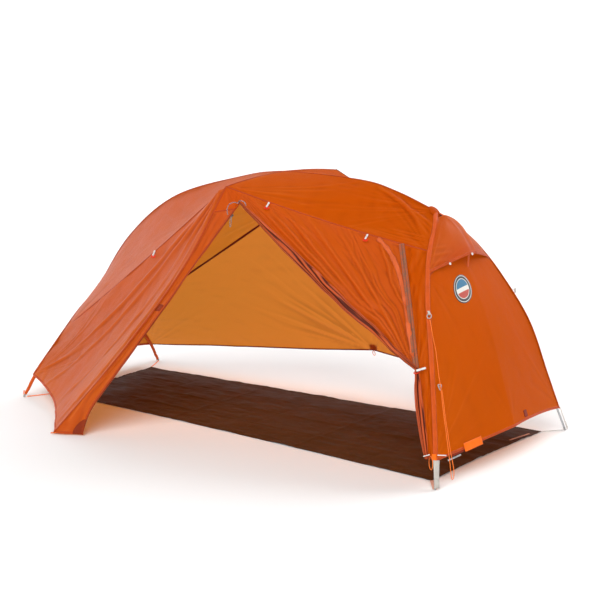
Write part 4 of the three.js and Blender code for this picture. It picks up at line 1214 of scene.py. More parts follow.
pull_cord = braid_material("pull_cord", srgb(96, 96, 98), srgb(236, 236, 232), 0.0013, 1.0)
zip_cloth = zip_material()
ground_cloth = footprint_material()
badge = round_patch_material()
alloy = alloy_material("pole_alloy", srgb(184, 188, 192))
zip_metal = alloy_material("zip_metal", srgb(92, 92, 94), 0.38)
hub_plastic = plastic_material("hub_plastic", srgb(52, 53, 56), 0.45)
tip_plastic = plastic_material("tip_plastic", srgb(150, 150, 150), 0.45)
ring_plastic = plastic_material("ring_plastic", srgb(170, 168, 164), 0.42)
toggle_plastic = plastic_material("toggle_plastic", srgb(214, 213, 209), 0.4)


# ---- The guyline and its adjuster ------------------------------------------------------------------
GUYLINE = mm(
    (1019, -353, 629), (1027, -356, 610), (1040, -363, 570), (1061, -374, 520), (1077, -385, 470),
    (1091, -394, 420), (1101, -400, 392), (1114, -409, 350), (1127, -418, 300), (1141, -426, 250),
    (1155, -434, 200), (1168, -441, 150), (1180, -447, 100), (1188, -450, 60), (1190, -447, 30),
    (1190, -438, 20), (1190, -429, 30), (1188, -427, 60), (1180, -429, 100), (1168, -428, 150),
    (1155, -423, 200), (1141, -417, 250), (1128, -410, 300), (1115, -403, 350), (1111, -401, 363),
)
CORD_RADIUS = 0.0015


def along(line, count, a=0.0, b=1.0):
    return line(np.linspace(a, b, count))


def length_of(path):
    return float(np.linalg.norm(np.diff(path, axis=0), axis=1).sum())


def middle_of(node):
    low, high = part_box(node)
    return np.array((low + high) / 2)


def rounded_triangle(half, radius):
    """A closed triangular line with round corners, point down, in its own plane."""
    corner = half - radius
    centres = np.array([(0, -half - 0.003 + radius * 1.6), (corner, corner), (-corner, corner)])
    starts = np.radians((205, -26, 90))
    turns = np.radians((130, 116, 116))
    points = []
    for centre, start, turn in zip(centres, starts, turns):
        angle = start + np.linspace(0, turn, 14)
        points.append(centre + radius * np.stack([np.cos(angle), np.sin(angle)], 1))
    return np.vstack(points)


def declare_cord(piece, path, diameter, **facts):
    length_of(path)
    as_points(path)


def guyline_pieces():
    path = evenly(Smooth(GUYLINE), 320)
    line = tube("guyline_cord", path, CORD_RADIUS, guy_cord, sides=12, up=(1, 0, 0))
    down = unit(GUYLINE[8] - GUYLINE[5])
    side = unit(np.cross(down, (0.93, -0.12, 0.34)))
    out = np.cross(side, down)
    centre = middle_of("guyline_adjuster") + out * 0.001
    flat = rounded_triangle(0.010, 0.003)
    frame_path = centre + flat[:, :1] * side - flat[:, 1:] * down
    loop = tube("adjuster_frame", frame_path, 0.0017, ring_plastic, sides=12, up=out, closed=True)
    bar_path = straight(centre - side * 0.0075 - down * 0.0035, centre + side * 0.0075 - down * 0.0035)
    bar = tube("adjuster_bar", along(bar_path, 8), 0.0014, ring_plastic, sides=12, up=out)
    adjuster = joined("guyline_adjuster_plate", loop, bar)
    pinned(line, "guy_cord", "guyline")
    place(adjuster, "adjuster", "ring_plastic", "guyline_adjuster")
    declare_cord(line, path, 2 * CORD_RADIUS, far_end="object", lay="hanging", with_pieces=[adjuster])


guyline_pieces()

# ---- The fly ---------------------------------------------------------------------------------------
PANELS = {
    "fly_roof_near": roof_cloth(NEAR, 101),
    "fly_roof_far": roof_cloth(FAR, 151),
    "fly_foot_roof_near": foot_roof_cloth(NEAR, 201),
    "fly_foot_roof_far": foot_roof_cloth(FAR, 251),
    "fly_side_far": far_side_cloth(),
    "fly_vestibule": vestibule_cloth(),
    "door_strip": strip_cloth(),
    "door_top": door_top_cloth(),
    "door_gathered": door_cloth(),
    "fly_leg_panel_near": leg_panel_cloth(),
    "fly_vent_hood": hood_cloth(),
    "fly_head_wall": head_wall_cloth(),
    "fly_foot_wall": foot_wall_cloth(),
}
STRIP = PANELS["door_strip"]
DOOR = PANELS["door_gathered"]
DOOR_TOP = PANELS["door_top"]
DOOR_HEAD = fold(FOLD_FROM)
DOOR_AXIS = unit(STAKE_CORNER - DOOR_HEAD)
apart = STRIP.points[-1] - STRIP.points[0]
DOOR_ACROSS = unit((apart - (apart @ DOOR_AXIS)[:, None] * DOOR_AXIS).mean(0))
STILL_REACH = ((STRIP.points[0] - DOOR_HEAD) @ DOOR_ACROSS).max()
FREE_REACH = ((STRIP.points[-1] - DOOR_HEAD) @ DOOR_ACROSS).min()


def follow_door(piece, *nodes):
    """Bakes a piece's transform into its mesh and hides the CAD nodes it stands for."""
    DOOR_HEAD + DOOR_ACROSS * STILL_REACH
    DOOR_HEAD + DOOR_ACROSS * FREE_REACH
    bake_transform(piece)
    finish_as(piece, "fly_cloth", nodes)


def follow_door_top(piece):
    """Bakes the transform of a piece on the top panel into its mesh."""
    share = STILL_REACH / ((ZIP_TOP - DOOR_HEAD) @ DOOR_ACROSS)
    turn = DOOR_HEAD + share * (ZIP_TOP - DOOR_HEAD)
    still = unit(ROLL_TOP - turn)
    reach = ZIP_TOP - turn
    turn + reach - (reach @ still) * still
    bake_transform(piece)
    finish_as(piece, "fly_cloth")


SEAM_THICKNESS = 0.0016
HEM_THICKNESS = 0.0024
EDGE_SEAM = 0.008  # how wide the brow and fold seams are


def seam(name, path, beside, width, material=None, crown=0.0006, lift=0.0):
    """A strip over a line, facing the way the panels beside it face."""
    normals = np.zeros(path.shape)
    for cloth in (PANELS[node] for node in beside):
        flat = cloth.points.reshape(-1, 3)
        for k, p in enumerate(path):
            normals[k] += cloth.normals.reshape(-1, 3)[np.argmin(((flat - p) ** 2).sum(1))]
    normals = unit(normals)
    for _ in range(6):
        normals[1:-1] = unit(normals[:-2] + normals[1:-1] * 2 + normals[2:])
    path = path + normals * lift
    return pinned(band(name, path, normals, width, SEAM_THICKNESS, material or seam_tape, crown))


# panels given the lit and shaded copies of the fly cloth, chosen by how light falls on them
PANEL_FINISH = {
    "door_gathered": fly_gathered, "door_top": fly_gathered, "fly_side_far": fly_inside,
    "fly_roof_near": fly_haze_free_copy, "fly_roof_far": fly_haze_free_copy, "fly_head_wall": fly_haze_free_copy,
    "fly_leg_panel_near": fly_haze_free_copy,
}


def panel_pieces():
    for node, cloth in PANELS.items():
        piece = cloth_piece(node + "_cloth", cloth, PANEL_FINISH.get(node, fly))
        if node == "door_strip":
            follow_door(piece, node)
        elif node == "door_top":
            follow_door_top(piece)
        else:
            pinned(piece, "fly_cloth", node)


def seam_pieces():
    foot_part = along(stretch(spine, 0.012, spine_brow), 90)
    head_part = along(stretch(spine, spine_brow, 0.985), 70)
    ridge = np.vstack([foot_part, head_part[1:]])
    beside = ["fly_roof_near", "fly_roof_far", "fly_foot_roof_near", "fly_foot_roof_far"]
    seam("spine_seam", ridge, beside, 0.009)
    for word, side in SIDES:
        roof = "fly_roof_" + word
        foot_roof = "fly_foot_roof_" + word
        near = side == NEAR
        tape, width = (seam_tape, 0.007) if near else (inner_tape, 0.012)
        below_eave = "door_gathered" if near else "fly_side_far"
        below_foot = "fly_vestibule" if near else "fly_side_far"
        seam(f"brow_seam_{word}", along(brow(side), 50, 0.01, 1), [roof, foot_roof], EDGE_SEAM)
        seam(f"eave_seam_{word}", along(eave[side], 110), [roof, below_eave], width, tape)
        seam(f"foot_seam_{word}", along(foot_seam[side], 130), [foot_roof, below_foot], width, tape)
        seam(f"head_leg_sleeve_{word}", along(stretch(leg[side], 0.02, leg_at[HEAD_HEM_HEIGHT]), 130),
             ["fly_head_wall", "fly_vent_hood", roof], 0.021, sleeve_cloth, 0.0014, 0.0004)
        seam(f"foot_leg_sleeve_{word}", along(stretch(foot_leg[side], 0.02, foot_at[FOOT_HEM_HEIGHT]), 80),
             ["fly_foot_wall", foot_roof, below_foot], 0.018, sleeve_cloth, 0.0022, 0.0004)
    seam("fold_seam", along(fold, 120, 0.005, 1), ["fly_vestibule", "door_strip"], EDGE_SEAM)


def hem(name, cloth, edge, width, material=hem_tape):
    """The folded hem along an edge of a panel."""
    path, normals = cloth.edge(edge, inset=width / 2 - 0.0004, count=150)
    return band(name, path, normals, width, HEM_THICKNESS, material, 0.0003)


HUB_CAP_PROFILE = [(0, 0), (0.0, 0.032), (0.0035, 0.0275), (0.0068, 0.0215), (0.0092, 0.0145), (0.0104, 0.0070),
                   (0.0107, 0)]
HUB_CAP_DEPTH = 0.0080  # how far the cap's rim lies under the top of the hub


def hub_caps():
    """Cloth caps over the ridge hubs, where the fly stands on them."""
    for word, share, x in (("head", 1.0, 1.0), ("foot", 0.0, -1.0)):
        middle = spine(share)
        out = unit(unit(np.array([x, 0, 1.2])) - 0.15 * unit(spine(0.5) - middle))
        pinned(turned(f"{word}_hub_cap", middle - out * HUB_CAP_DEPTH, out, HUB_CAP_PROFILE, fly_haze_free_copy, 48))


def hem_pieces():
    for panel, edge, width in (
        ("fly_side_far", "high", 0.0065), ("fly_vestibule", "high", 0.011), ("fly_head_wall", "high", 0.011),
        ("fly_foot_wall", "high", 0.011), ("fly_vent_hood", "high", 0.012), ("fly_head_wall", "low", 0.010),
        ("fly_leg_panel_near", "end", 0.010),
    ):
        material = dark_cloth if panel == "fly_side_far" else hem_tape
        pinned(hem(f"{panel}_{edge}_hem", PANELS[panel], edge, width, material))
    follow_door_top(hem("door_top_hem", DOOR_TOP, "high", 0.006))
    follow_door(hem("door_strip_hem", STRIP, "end", 0.011))
    place(hem("door_strip_zip_tape", STRIP, "high", 0.013), "door_edge", "zip_tape")
    path, normals = STRIP.edge("high", lift=0.0006, inset=-0.002, a=0.01, b=0.97, count=220)
    coil = band("door_strip_zip_coil", path, normals, 0.0042, 0.0022, coil_cloth, 0.0006)
    place(coil, "door_edge", "zip_tape")


# ---- The tied-back door ----------------------------------------------------------------------------
def bundle(name, path, radius, flatness, lobes, depth, seed, material, up, sides, twist=0.5):
    """Cloth bunched along a path: long pleats side by side that wander and twist a little, with painted shade
    in the pleats' valleys and painted highlights on their crests.
    """
    n = len(path)
    s = np.concatenate([[0], np.cumsum(np.linalg.norm(np.diff(path, axis=0), axis=1))])[:, None]
    angle = round_the_clock(sides)[None] + 0 * s
    wander = 0.55 * noise2(20 + 1.5 * np.cos(angle), 20 + 1.5 * np.sin(angle) + s / 0.22, seed)
    phase = angle + twist * s / 0.3 + wander
    pleat = np.abs(np.cos(phase * lobes / 2)) ** 0.75
    small = 0.5 + 0.5 * noise2(60 + 5.0 * np.cos(angle), 60 + 5.0 * np.sin(angle) + s / 0.12, seed + 1)
    r = radius(np.linspace(0, 1, n))[:, None]
    ring = r * (1 - depth + depth * pleat + 0.16 * (small - 0.5))
    outline = np.stack([ring * np.cos(angle), ring * np.sin(angle) * flatness], -1)
    # painted shade in the pleats' valleys and painted highlights on their crests, as fold marks for the cloth
    # shader
    fold = np.clip(4.0 * (0.88 - pleat) + 0.9 * (0.5 - small), -1, 1)
    return sweep(name, path, outline, material, up=up, fold=fold)


def roll_radius(t):
    shares = (0, 0.05, 0.25, 0.45, 0.62, 0.85, 1)
    return np.interp(t, shares, (0.004, 0.0085, 0.0175, 0.0235, 0.0210, 0.0135, 0.0100))


def tail_radius(t):
    shares = (0, 0.05, 0.18, 0.45, 0.75, 0.93, 1)
    return np.interp(t, shares, (0.0105, 0.012, 0.0195, 0.0235, 0.0215, 0.015, 0.009))


def tied_door_pieces():
    t = np.linspace(0, 1, 260)
    edge, _ = DOOR.at(t, 1 + 0 * t)
    inner, normals = DOOR.at(t, 0.95 + 0 * t)
    radius = roll_radius(t)[:, None]
    path = edge + unit(inner - edge) * radius * 0.70 + normals * radius * 0.60
    for _ in range(60):
        path[1:-1] = (path[:-2] + 2 * path[1:-1] + path[2:]) / 4
    pinned(bundle("door_roll", path, roll_radius, 0.80, 9, 0.40, 1201, fly_roll, (0, -0.5, 1), 120))
    tail_line = Smooth(np.vstack([
        TIE_BACK + (0, -0.004, 0.012), TIE_BACK + (0.006, -0.006, -0.03),
        mm((1056, -488, 350), (1082, -506, 260), (1106, -520, 180), (1122, -524, 112)),
    ]))
    tail = evenly(tail_line, 150)
    pinned(bundle("door_tail", tail, tail_radius, 0.62, 8, 0.50, 1211, fly_roll, (-0.5, -1, 0), 108, 0.3))
    ribbon_v = np.linspace(0.02, 0.96, 150)
    ribbon_u = 0.83 + 0.135 * (1 - np.exp(-ribbon_v / 0.13)) + 0.022 * ribbon_v
    lift = 0.0035 + 0.0016 * noise(ribbon_v * 30, 1221)
    path, normals = DOOR.at(ribbon_u, ribbon_v, lift)
    crinkled = np.repeat(flat_outline(0.021, 0.0012)[None], len(path), 0)
    crinkled[..., 0] *= (1 + 0.16 * noise(ribbon_v * 34, 1222))[:, None]
    crinkled[..., 1] += 0.0012 * noise2(ribbon_v[:, None] * 40, crinkled[..., 0] / 0.008 + 9, 1223)
    pinned(sweep("door_storm_flap", path, crinkled, ribbon_cloth, up=normals))
    tape_line = along(edge_zip, 140, 0.01, 0.985)
    outward = unit(np.cross(np.gradient(tape_line, axis=0), np.array([24, 6, 0.0])))
    outward *= np.sign((outward * (0, -1, 0)).sum(1, keepdims=True))
    tape = band("edge_zip_band", tape_line + outward * 0.0085, outward, 0.022, 0.0016, zip_cloth, 0.0006)
    pinned(tape, "zip_tape", "edge_zip_tape")


# ---- Patches and labels ----------------------------------------------------------------------------
def disc(radius):
    return lambda angle: (radius * np.cos(angle), radius * np.sin(angle))


def box_outline(half_x, half_y):
    """A rectangle with slightly rounded corners, as a function of angle."""

    def outline(angle):
        c = np.cos(angle)
        s = np.sin(angle)
        reach = (np.abs(c / half_x) ** 8 + np.abs(s / half_y) ** 8) ** (-1 / 8)
        return reach * c, reach * s

    return outline


def hem_strip(name, u_from, u_to, drop, width, material, lift=0.0):
    """A tape sewn along the head wall's hem, with its middle `drop` metres below it."""
    path, normals = PANELS["fly_head_wall"].edge("high", lift, a=u_from, b=u_to, count=30)
    return pinned(band(name, path - (0, 0, drop), normals, width, 0.0014, material, 0.0002))


BUTTON_PROFILE = [(0, 0), (0.0002, 0.0046), (0.0012, 0.0056), (0.0026, 0.0052), (0.0036, 0.0034), (0.0039, 0)]


def patch_pieces():
    wall = PANELS["fly_head_wall"]
    side = PANELS["fly_side_far"]
    pinned(patch("round_patch", wall, 0.369, 0.247, disc(0.060), badge))
    hem_strip("hem_label", 0.174, 0.286, -0.006, 0.036, label_cloth, 0.0024)
    pinned(patch("hem_notch_patch", wall, 0.631, 0.966, box_outline(0.014, 0.015), dark_cloth, 0.0030))
    hem_strip("hem_dark_tape", 0.10, 0.19, 0.004, 0.009, dark_cloth)
    hem_strip("hem_dashed_tape", 0.075, 0.155, 0.017, 0.007, pale_webbing)
    pull_u, pull_v = side.nearest(FAR_HEM_PULL)
    pinned(patch("far_pull_patch", side, pull_u, pull_v - 0.016, box_outline(0.022, 0.014), dark_cloth))
    follow_door(patch("door_strip_tab", STRIP, 0.443, 0.40, box_outline(0.018, 0.018), reinforcement, 0.0016))
    follow_door(patch("door_corner_patch", STRIP, 0.985, 0.97, disc(0.046), reinforcement, 0.0016))
    # a small dark patch painted as the shadow that the brow pole's tip casts on the top of the doorway
    small = box_outline(0.011, 0.008)
    follow_door_top(patch("door_top_shadow_patch", DOOR_TOP, 0.92, 0.80, small, dark_cloth, 0.0014))
    for k, share in enumerate((0.235, 0.50)):
        seat = hood_lip(share) + (0.001, 0, -0.001)
        button = turned(f"hood_button_{k + 1}", seat, (0.93, -0.2, 0.3), BUTTON_PROFILE, toggle_plastic, 24)
        pinned(button, "toggle_plastic")


# ---- Ground sheet ----------------------------------------------------------------------------------
LOOP_HEIGHT = 0.0066


def footprint_pieces():
    cloth = footprint_cloth()
    sheet = cloth_piece("footprint_sheet", cloth, ground_cloth)
    pinned(sheet, "footprint_cloth", "footprint")
    hems = []
    for edge in ("low", "high", "start", "end"):
        path, normals = cloth.edge(edge, lift=0.0004, inset=0.005, count=200)
        hems.append(band(f"footprint_hem_{edge}", path, normals, 0.010, 0.0018, ground_cloth, 0.0002))
    hem_piece = joined("footprint_hem", *hems)
    pinned(hem_piece, "footprint_cloth")
    for k, (x, y) in enumerate(((1.076, 0.300), (1.068, 0.235))):
        start = np.array([x, y, LOOP_HEIGHT])
        path = along(straight(start, start + (0.009, 0.076, 0)), 10)
        loop = band(f"footprint_loop_{k + 1}", path, (0, 0, 1), 0.012, 0.0016, peach_webbing, 0.0004)
        pinned(loop, "grey_webbing")


# ---- Corner webbing --------------------------------------------------------------------------------
STRAP_POINTS = 40
STRAP_FOLD_START = 26  # the point where the sewn fold begins
FOOT_SLEEVE_TOP = 0.19
SLEEVE_POINTS = 50
LINK_START_HEIGHT = 0.0030  # where a corner link leaves the footprint


def head_strap(word, side):
    """The webbing that runs down a head leg to its tip, with a sewn fold at the foot."""
    line = leg[side]
    out = unit(np.array([FOOTPRINT_HALF_LENGTH, side * FOOTPRINT_HEAD_HALF, 0]))
    shown = stretch(line, line.where(2, HEAD_HEM_HEIGHT + 0.006), line.where(2, 0.009))
    path = along(shown, STRAP_POINTS) + out * 0.0045
    widths = (0.034, 0.028, 0.024, 0.026) if side == NEAR else (0.008, 0.010, 0.014, 0.021)
    width = np.interp(np.linspace(0, 1, STRAP_POINTS), (0, 0.3, 0.7, 1), widths)
    rings = np.stack([flat_outline(w, 0.0018, 0.0004) for w in width])
    foot = slice(STRAP_FOLD_START, -2)
    name = f"head_strap_{word}"
    strap = sweep(name + "_web", path, rings, grey_webbing, up=facing(out, path))
    doubled = sweep(name + "_fold", path[foot] + out * 0.0018, rings[foot] * (0.92, 1), grey_webbing,
                    up=facing(out, path[foot]))
    pinned(joined(f"head_corner_strap_{word}", strap, doubled), "grey_webbing", f"corner_strap_head_{word}")
    return path[-1] * (1, 1, 0) + (0, 0, 0.0024) - out * 0.012


def foot_sleeve(word, side, pole):
    """The cloth sleeve that covers a foot leg's tip below the hem."""
    path = along(stretch(pole, pole.where(2, FOOT_SLEEVE_TOP), pole.where(2, 0.013)), SLEEVE_POINTS)
    t = np.linspace(0, 1, SLEEVE_POINTS)
    width = np.interp(t, (0, 0.5, 0.85, 1), (0.0095, 0.0085, 0.0080, 0.0066))
    angle = round_the_clock(40)[None]
    pucker = 1 + 0.05 * noise2(5 + 2.2 * np.cos(angle), 5 + 2.2 * np.sin(angle) + t[:, None] * 9, 1301 + side)
    ring = width[:, None] * pucker
    rings = np.stack([ring * np.cos(angle), ring * np.sin(angle) * 0.8], -1)
    sleeve = sweep(f"foot_sleeve_{word}", path, rings, orange_webbing, up=(1, 0, 0.3))
    pinned(sleeve, "fly_cloth", f"corner_strap_foot_{word}")
    out = unit(np.array([-FOOTPRINT_HALF_LENGTH, side * FOOTPRINT_FOOT_HALF, 0]))
    up = np.array([0, 0, 1])
    loop = loop_path(path[-1] + out * 0.006 + up * 0.004, unit(np.cross(out, up)), up, 0.010, 0.028)
    pinned(ring_of_cord(f"foot_tip_loop_{word}", loop, 0.0016, guy_cord, out), "guy_cord")
    return path[-1] * (1, 1, 0) + (0, 0, 0.0030) - out * 0.010


def corner_links():
    """The strap or cord from each corner of the footprint to the pole tip beside it."""
    lines, _ = pole_lines()
    for end, x, y, material, radius in (
        ("head", FOOTPRINT_HALF_LENGTH, FOOTPRINT_HEAD_HALF, pale_cord, 0.0014),
        ("foot", -FOOTPRINT_HALF_LENGTH, FOOTPRINT_FOOT_HALF, guy_cord, 0.0021),
    ):
        head = end == "head"
        for word, side in SIDES:
            finish = head_strap(word, side) if head else foot_sleeve(word, side, lines[f"foot_leg_{word}"])
            run = along(straight(np.array([x, side * y, LINK_START_HEIGHT]), finish), 30)
            node = f"footprint_strap_{end}_{word}"
            if head and side == NEAR:
                link = band(node + "_web", run, (0, 0, 1), 0.019, 0.0018, peach_webbing, 0.0004)
                pinned(link, "grey_webbing", node)
                continue
            link = tube(f"footprint_cord_{end}_{word}", run, radius, material)
            pinned(link, "grey_webbing", node)
            declare_cord(link, run, 2 * radius, far_end="object", lay="taut")


def corner_hardware():
    """The tab and the two small hooks where the near head corner of the fly is clipped."""
    corner = head_hem[NEAR]
    tab_top = corner + (-0.006, -0.002, 0.030)
    path = along(straight(tab_top, tab_top + (0.004, -0.005, -0.024)), 12)
    pinned(band("corner_tab", path, unit(np.array([0.60, -0.79, 0.10])), 0.019, 0.0022, label_cloth, 0.0003))
    for k, (a, b) in enumerate((
        (corner + (-0.042, -0.026, 0.020), corner + (-0.020, -0.011, 0.028)),
        (corner + (0.004, 0.006, 0.026), corner + (0.031, 0.029, 0.024)),
    )):
        length = np.linalg.norm(b - a)
        profile = [(0, 0), (0.0004, 0.0014), (0.002, 0.0023), (length / 2, 0.0019), (length - 0.002, 0.0023),
                   (length - 0.0004, 0.0014), (length, 0)]
        pinned(turned(f"corner_hook_{k + 1}", a, b - a, profile, toggle_plastic, 16), "toggle_plastic")


# ---- Poles -----------------------------------------------------------------------------------------
POLE_RADIUS = 0.0045
HUB_CLEAR = 0.010  # from the middle of a hub to the end of a pole
TIP_BALL = 0.005
TIP_CLEAR = TIP_BALL + 0.002  # from the ground end of a leg to its tube
SECTION_GAP = 0.0004  # half of what shows between two sections of a pole
SOCKET_RADIUS = 0.0066
SOCKET_LENGTH = 0.026
SPINE_DIP = 0.010  # how far the spine lies lower where the brow pole crosses it
SPINE_DIP_REACH = 0.26
BROW_END_CLEAR = 0.016
BOSS_PROFILE = [(0, 0), (0.0006, 0.004), (0.003, 0.0074), (0.009, 0.0090), (0.015, 0.0074), (0.0174, 0.004),
                (0.018, 0)]
TIP_PROFILE = [(0, 0), (0.0004, 0.0020), (0.0018, 0.0038), (0.005, 0.0050), (0.0085, 0.0042), (0.0098, 0.0030),
               (0.0105, 0.0052), (0.0125, 0.0054), (0.0135, 0.0036), (0.026, 0.0034), (0.0265, 0)]
BROW_CAP_PROFILE = [(0, 0), (0.0005, 0.0032), (0.002, 0.0048), (0.004, 0.0053), (0.0125, 0.0053),
                    (0.0135, 0.0046), (0.0138, 0.003), (0.028, 0.003), (0.0284, 0)]


def inside(curve, heart, count):
    """Points of a curve moved inwards by the pole's depth, square to the curve."""
    t = np.linspace(0, 1, count + 1)
    tangents = unit(curve(np.clip(t + 1e-4, 0, 1)) - curve(np.clip(t - 1e-4, 0, 1)))
    points = curve(t)
    inward = np.array(heart) - points
    inward = unit(inward - (inward * tangents).sum(1, keepdims=True) * tangents)
    return points + inward * POLE_DEPTH


def pole_lines():
    points = inside(spine, (0, 0, 0.3), 14)
    points[:, 2] -= SPINE_DIP * np.exp(-(((points[:, 0] - BROW_X) / SPINE_DIP_REACH) ** 2))
    hubs = {"head": points[-1].copy(), "foot": points[0].copy()}
    lines = {"spine": Smooth(points)}
    for word, side in SIDES:
        for name, skin, hub, heart in (
            ("head_leg", leg[side], hubs["head"], (0.4, 0, 0.25)),
            ("foot_leg", foot_leg[side], hubs["foot"], (-0.6, 0, 0.15)),
        ):
            points = inside(skin, heart, 12)
            points[0] = hub
            points[-1, 2] = TIP_BALL
            lines[f"{name}_{word}"] = Smooth(points)
    t = np.linspace(-1, 1, 13)[:, None]
    height = BROW_TOP - BROW_DROP * t * t - POLE_DEPTH
    lines["brow"] = Smooth(np.hstack([BROW_X + 0 * t, BROW_HALF * t, height]))
    return lines, hubs


def pole_tubes(lines):
    plans = [("spine", [f"spine_section_{k}" for k in (1, 2, 3, 4)], HUB_CLEAR, HUB_CLEAR),
             ("brow", ["brow_section_near", "brow_section_far"], BROW_END_CLEAR, BROW_END_CLEAR)]
    for word, _ in SIDES:
        halves = [f"head_leg_upper_{word}", f"head_leg_lower_{word}"]
        plans.append((f"head_leg_{word}", halves, HUB_CLEAR, TIP_CLEAR))
        plans.append((f"foot_leg_{word}", [f"foot_leg_{word}"], HUB_CLEAR, TIP_CLEAR))
    for line, names, before, after in plans:
        even = by_length(lines[line])
        total = length_of(along(even, 400))
        each = (total - before - after) / len(names)
        for k, node in enumerate(names):
            a = (before + each * k + (SECTION_GAP if k else 0)) / total
            b = (before + each * (k + 1) - (SECTION_GAP if k + 1 < len(names) else 0)) / total
            path = along(even, 48, a, b)
            section = tube(node + "_tube", path, POLE_RADIUS, alloy, sides=20, up=(0.3, 0.5, 1))
            pinned(section, "pole_alloy", node)


def hub_pieces(lines, hubs):
    for end, share, inner in (("head", 1.0, 0.99), ("foot", 0.0, 0.01)):
        middle = hubs[end]
        ways = [unit(lines["spine"](inner) - lines["spine"](share))]
        ways += [unit(lines[f"{end}_leg_{word}"](0.01) - middle) for word, _ in SIDES]
        sockets = [socket(f"{end}_socket_{k}", middle, way) for k, way in enumerate(ways)]
        boss = turned(f"{end}_boss", middle - ways[0] * 0.009, ways[0], BOSS_PROFILE, hub_plastic, 24)
        pinned(joined(f"{end}_hub_body", boss, *sockets), "hub_plastic", f"{end}_hub")


def pole_end_pieces(lines):
    for word, side in SIDES:
        for end in ("head", "foot"):
            line = lines[f"{end}_leg_{word}"]
            up = unit(line(0.985) - line(1.0))
            tip = turned(f"{end}_tip_{word}", line(1.0) - up * TIP_BALL, up, TIP_PROFILE, tip_plastic, 24)
            pinned(tip, "tip_plastic", f"pole_tip_{end}_{word}")
        end_point = lines["brow"](0.0 if side == NEAR else 1.0)
        inward = unit(lines["brow"](0.5) - end_point)
        cap = turned(f"brow_cap_{word}", end_point + inward * 0.002, inward, BROW_CAP_PROFILE, tip_plastic, 24)
        pinned(cap, "tip_plastic", f"brow_tip_{word}")


def shown_nodes():
    """Finishes for the CAD nodes that are shown as they are."""
    ferrules = [f"spine_ferrule_{k}" for k in (1, 2, 3)]
    ferrules += ["brow_ferrule", "head_leg_ferrule_near", "head_leg_ferrule_far"]
    for node, material in [("brow_saddle", hub_plastic)] + [(node, alloy) for node in ferrules]:
        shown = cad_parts[node]
        shown.data.materials.clear()
        shown.data.materials.append(material)
    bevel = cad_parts["brow_saddle"].modifiers.new("rounded", "BEVEL")
    bevel.width = 0.0012
    bevel.segments = 3


def pole_pieces():
    lines, hubs = pole_lines()
    pole_tubes(lines)
    hub_pieces(lines, hubs)
    pole_end_pieces(lines)
    shown_nodes()


def socket(name, middle, direction):
    """One socket of a hub, with a rolled mouth that grips the pole."""
    reach = HUB_CLEAR + SOCKET_LENGTH
    profile = [(0, 0), (0.0002, SOCKET_RADIUS - 0.0005), (reach - 0.006, SOCKET_RADIUS - 0.0004),
               (reach - 0.0045, SOCKET_RADIUS + 0.0006), (reach - 0.0012, SOCKET_RADIUS + 0.0006),
               (reach, SOCKET_RADIUS), (reach, POLE_RADIUS + 0.0003), (reach - 0.004, 0)]
    return turned(name, middle, direction, profile, hub_plastic, 24)


# ---- Toggles, rings, zip hardware and the hood's strut -----------------------------------------------
TOGGLE_SPAN = 0.027
TIE_BACK_SPAN = 0.040
TOGGLE_REACH = 0.019  # from the seam down to the middle of the bar
TOGGLE_LIFT = 0.007


def loop_path(middle, side, down, width, length, count=40):
    angle = round_the_clock(count)
    return middle + np.outer(np.cos(angle) * width / 2, side) + np.outer(np.sin(angle) * length / 2, down)


def ring_of_cord(name, path, radius, material, up, sides=10):
    return tube(name, path, radius, material, sides, up, closed=True)


ROOF_DOWN = (0, -0.72, -0.69)
ROOF_OUT = (0, -0.69, 0.72)


def toggle_pieces():
    for node, body, down, out, r in (
        ("roof_toggle_1", "toggle_1", ROOF_DOWN, ROOF_OUT, 0.0040),
        ("roof_toggle_2", "toggle_2", ROOF_DOWN, ROOF_OUT, 0.0040),
        ("vestibule_toggle", "vestibule_toggle_body", (0, -0.5, -0.866), (0, -0.866, 0.5), 0.0040),
        ("tie_back_toggle", "tie_toggle", (-0.78, -0.5, -0.3), (0.23, -0.73, 0.63), 0.0046),
    ):
        tie_back = node == "tie_back_toggle"
        down = unit(np.array(down))
        out = unit(np.array(out) - (np.array(out) @ down) * down)
        middle = middle_of(node)
        side = np.cross(down, out)
        span = TIE_BACK_SPAN if tie_back else TOGGLE_SPAN
        half = span / 2
        profile = [(0, 0), (0.0003, r * 0.45), (0.0012, r * 0.85), (0.003, r), (half - 0.003, r),
                   (half - 0.002, r * 0.86), (half + 0.002, r * 0.86), (half + 0.003, r), (span - 0.003, r),
                   (span - 0.0012, r * 0.85), (span - 0.0003, r * 0.45), (span, 0)]
        bar = turned(node + "_bar", middle - down * half + out * 0.001, down, profile, toggle_plastic)
        waist_path = loop_path(middle + out * 0.001, side, out, r * 1.8, r * 1.8, 24)
        waist = ring_of_cord(node + "_waist", waist_path, 0.0009, pale_cord, down, 8)
        place(joined(node + "_assembly", bar, waist), body, "toggle_plastic", node)
        hang = -down if tie_back else down
        pivot = middle - hang * TOGGLE_REACH - out * TOGGLE_LIFT
        tail = along(Smooth(np.vstack([pivot - out * 0.001, pivot + hang * 0.006, middle - out * 0.002])), 14)
        place(tube(node + "_tail", tail, 0.0011, red_cord, sides=10, up=side), body, "pull_cord")
        if not tie_back:
            low_end = middle + down * (half + 0.001) - out * 0.002
            loop = loop_path(low_end, side, down, 0.021, 0.011, 48)
            place(ring_of_cord(node + "_loop", loop, 0.0026, red_cord, out), body, "pull_cord")
    round_roll = loop_path(TIE_BACK + (0.001, -0.004, -0.004), np.array([0.80, -0.60, 0.0]),
                           np.array([0.55, 0.75, 0.35]), 0.026, 0.023, 60)
    pinned(ring_of_cord("tie_back_loop", round_roll, 0.0022, red_cord, (0, 0, 1)), "pull_cord")


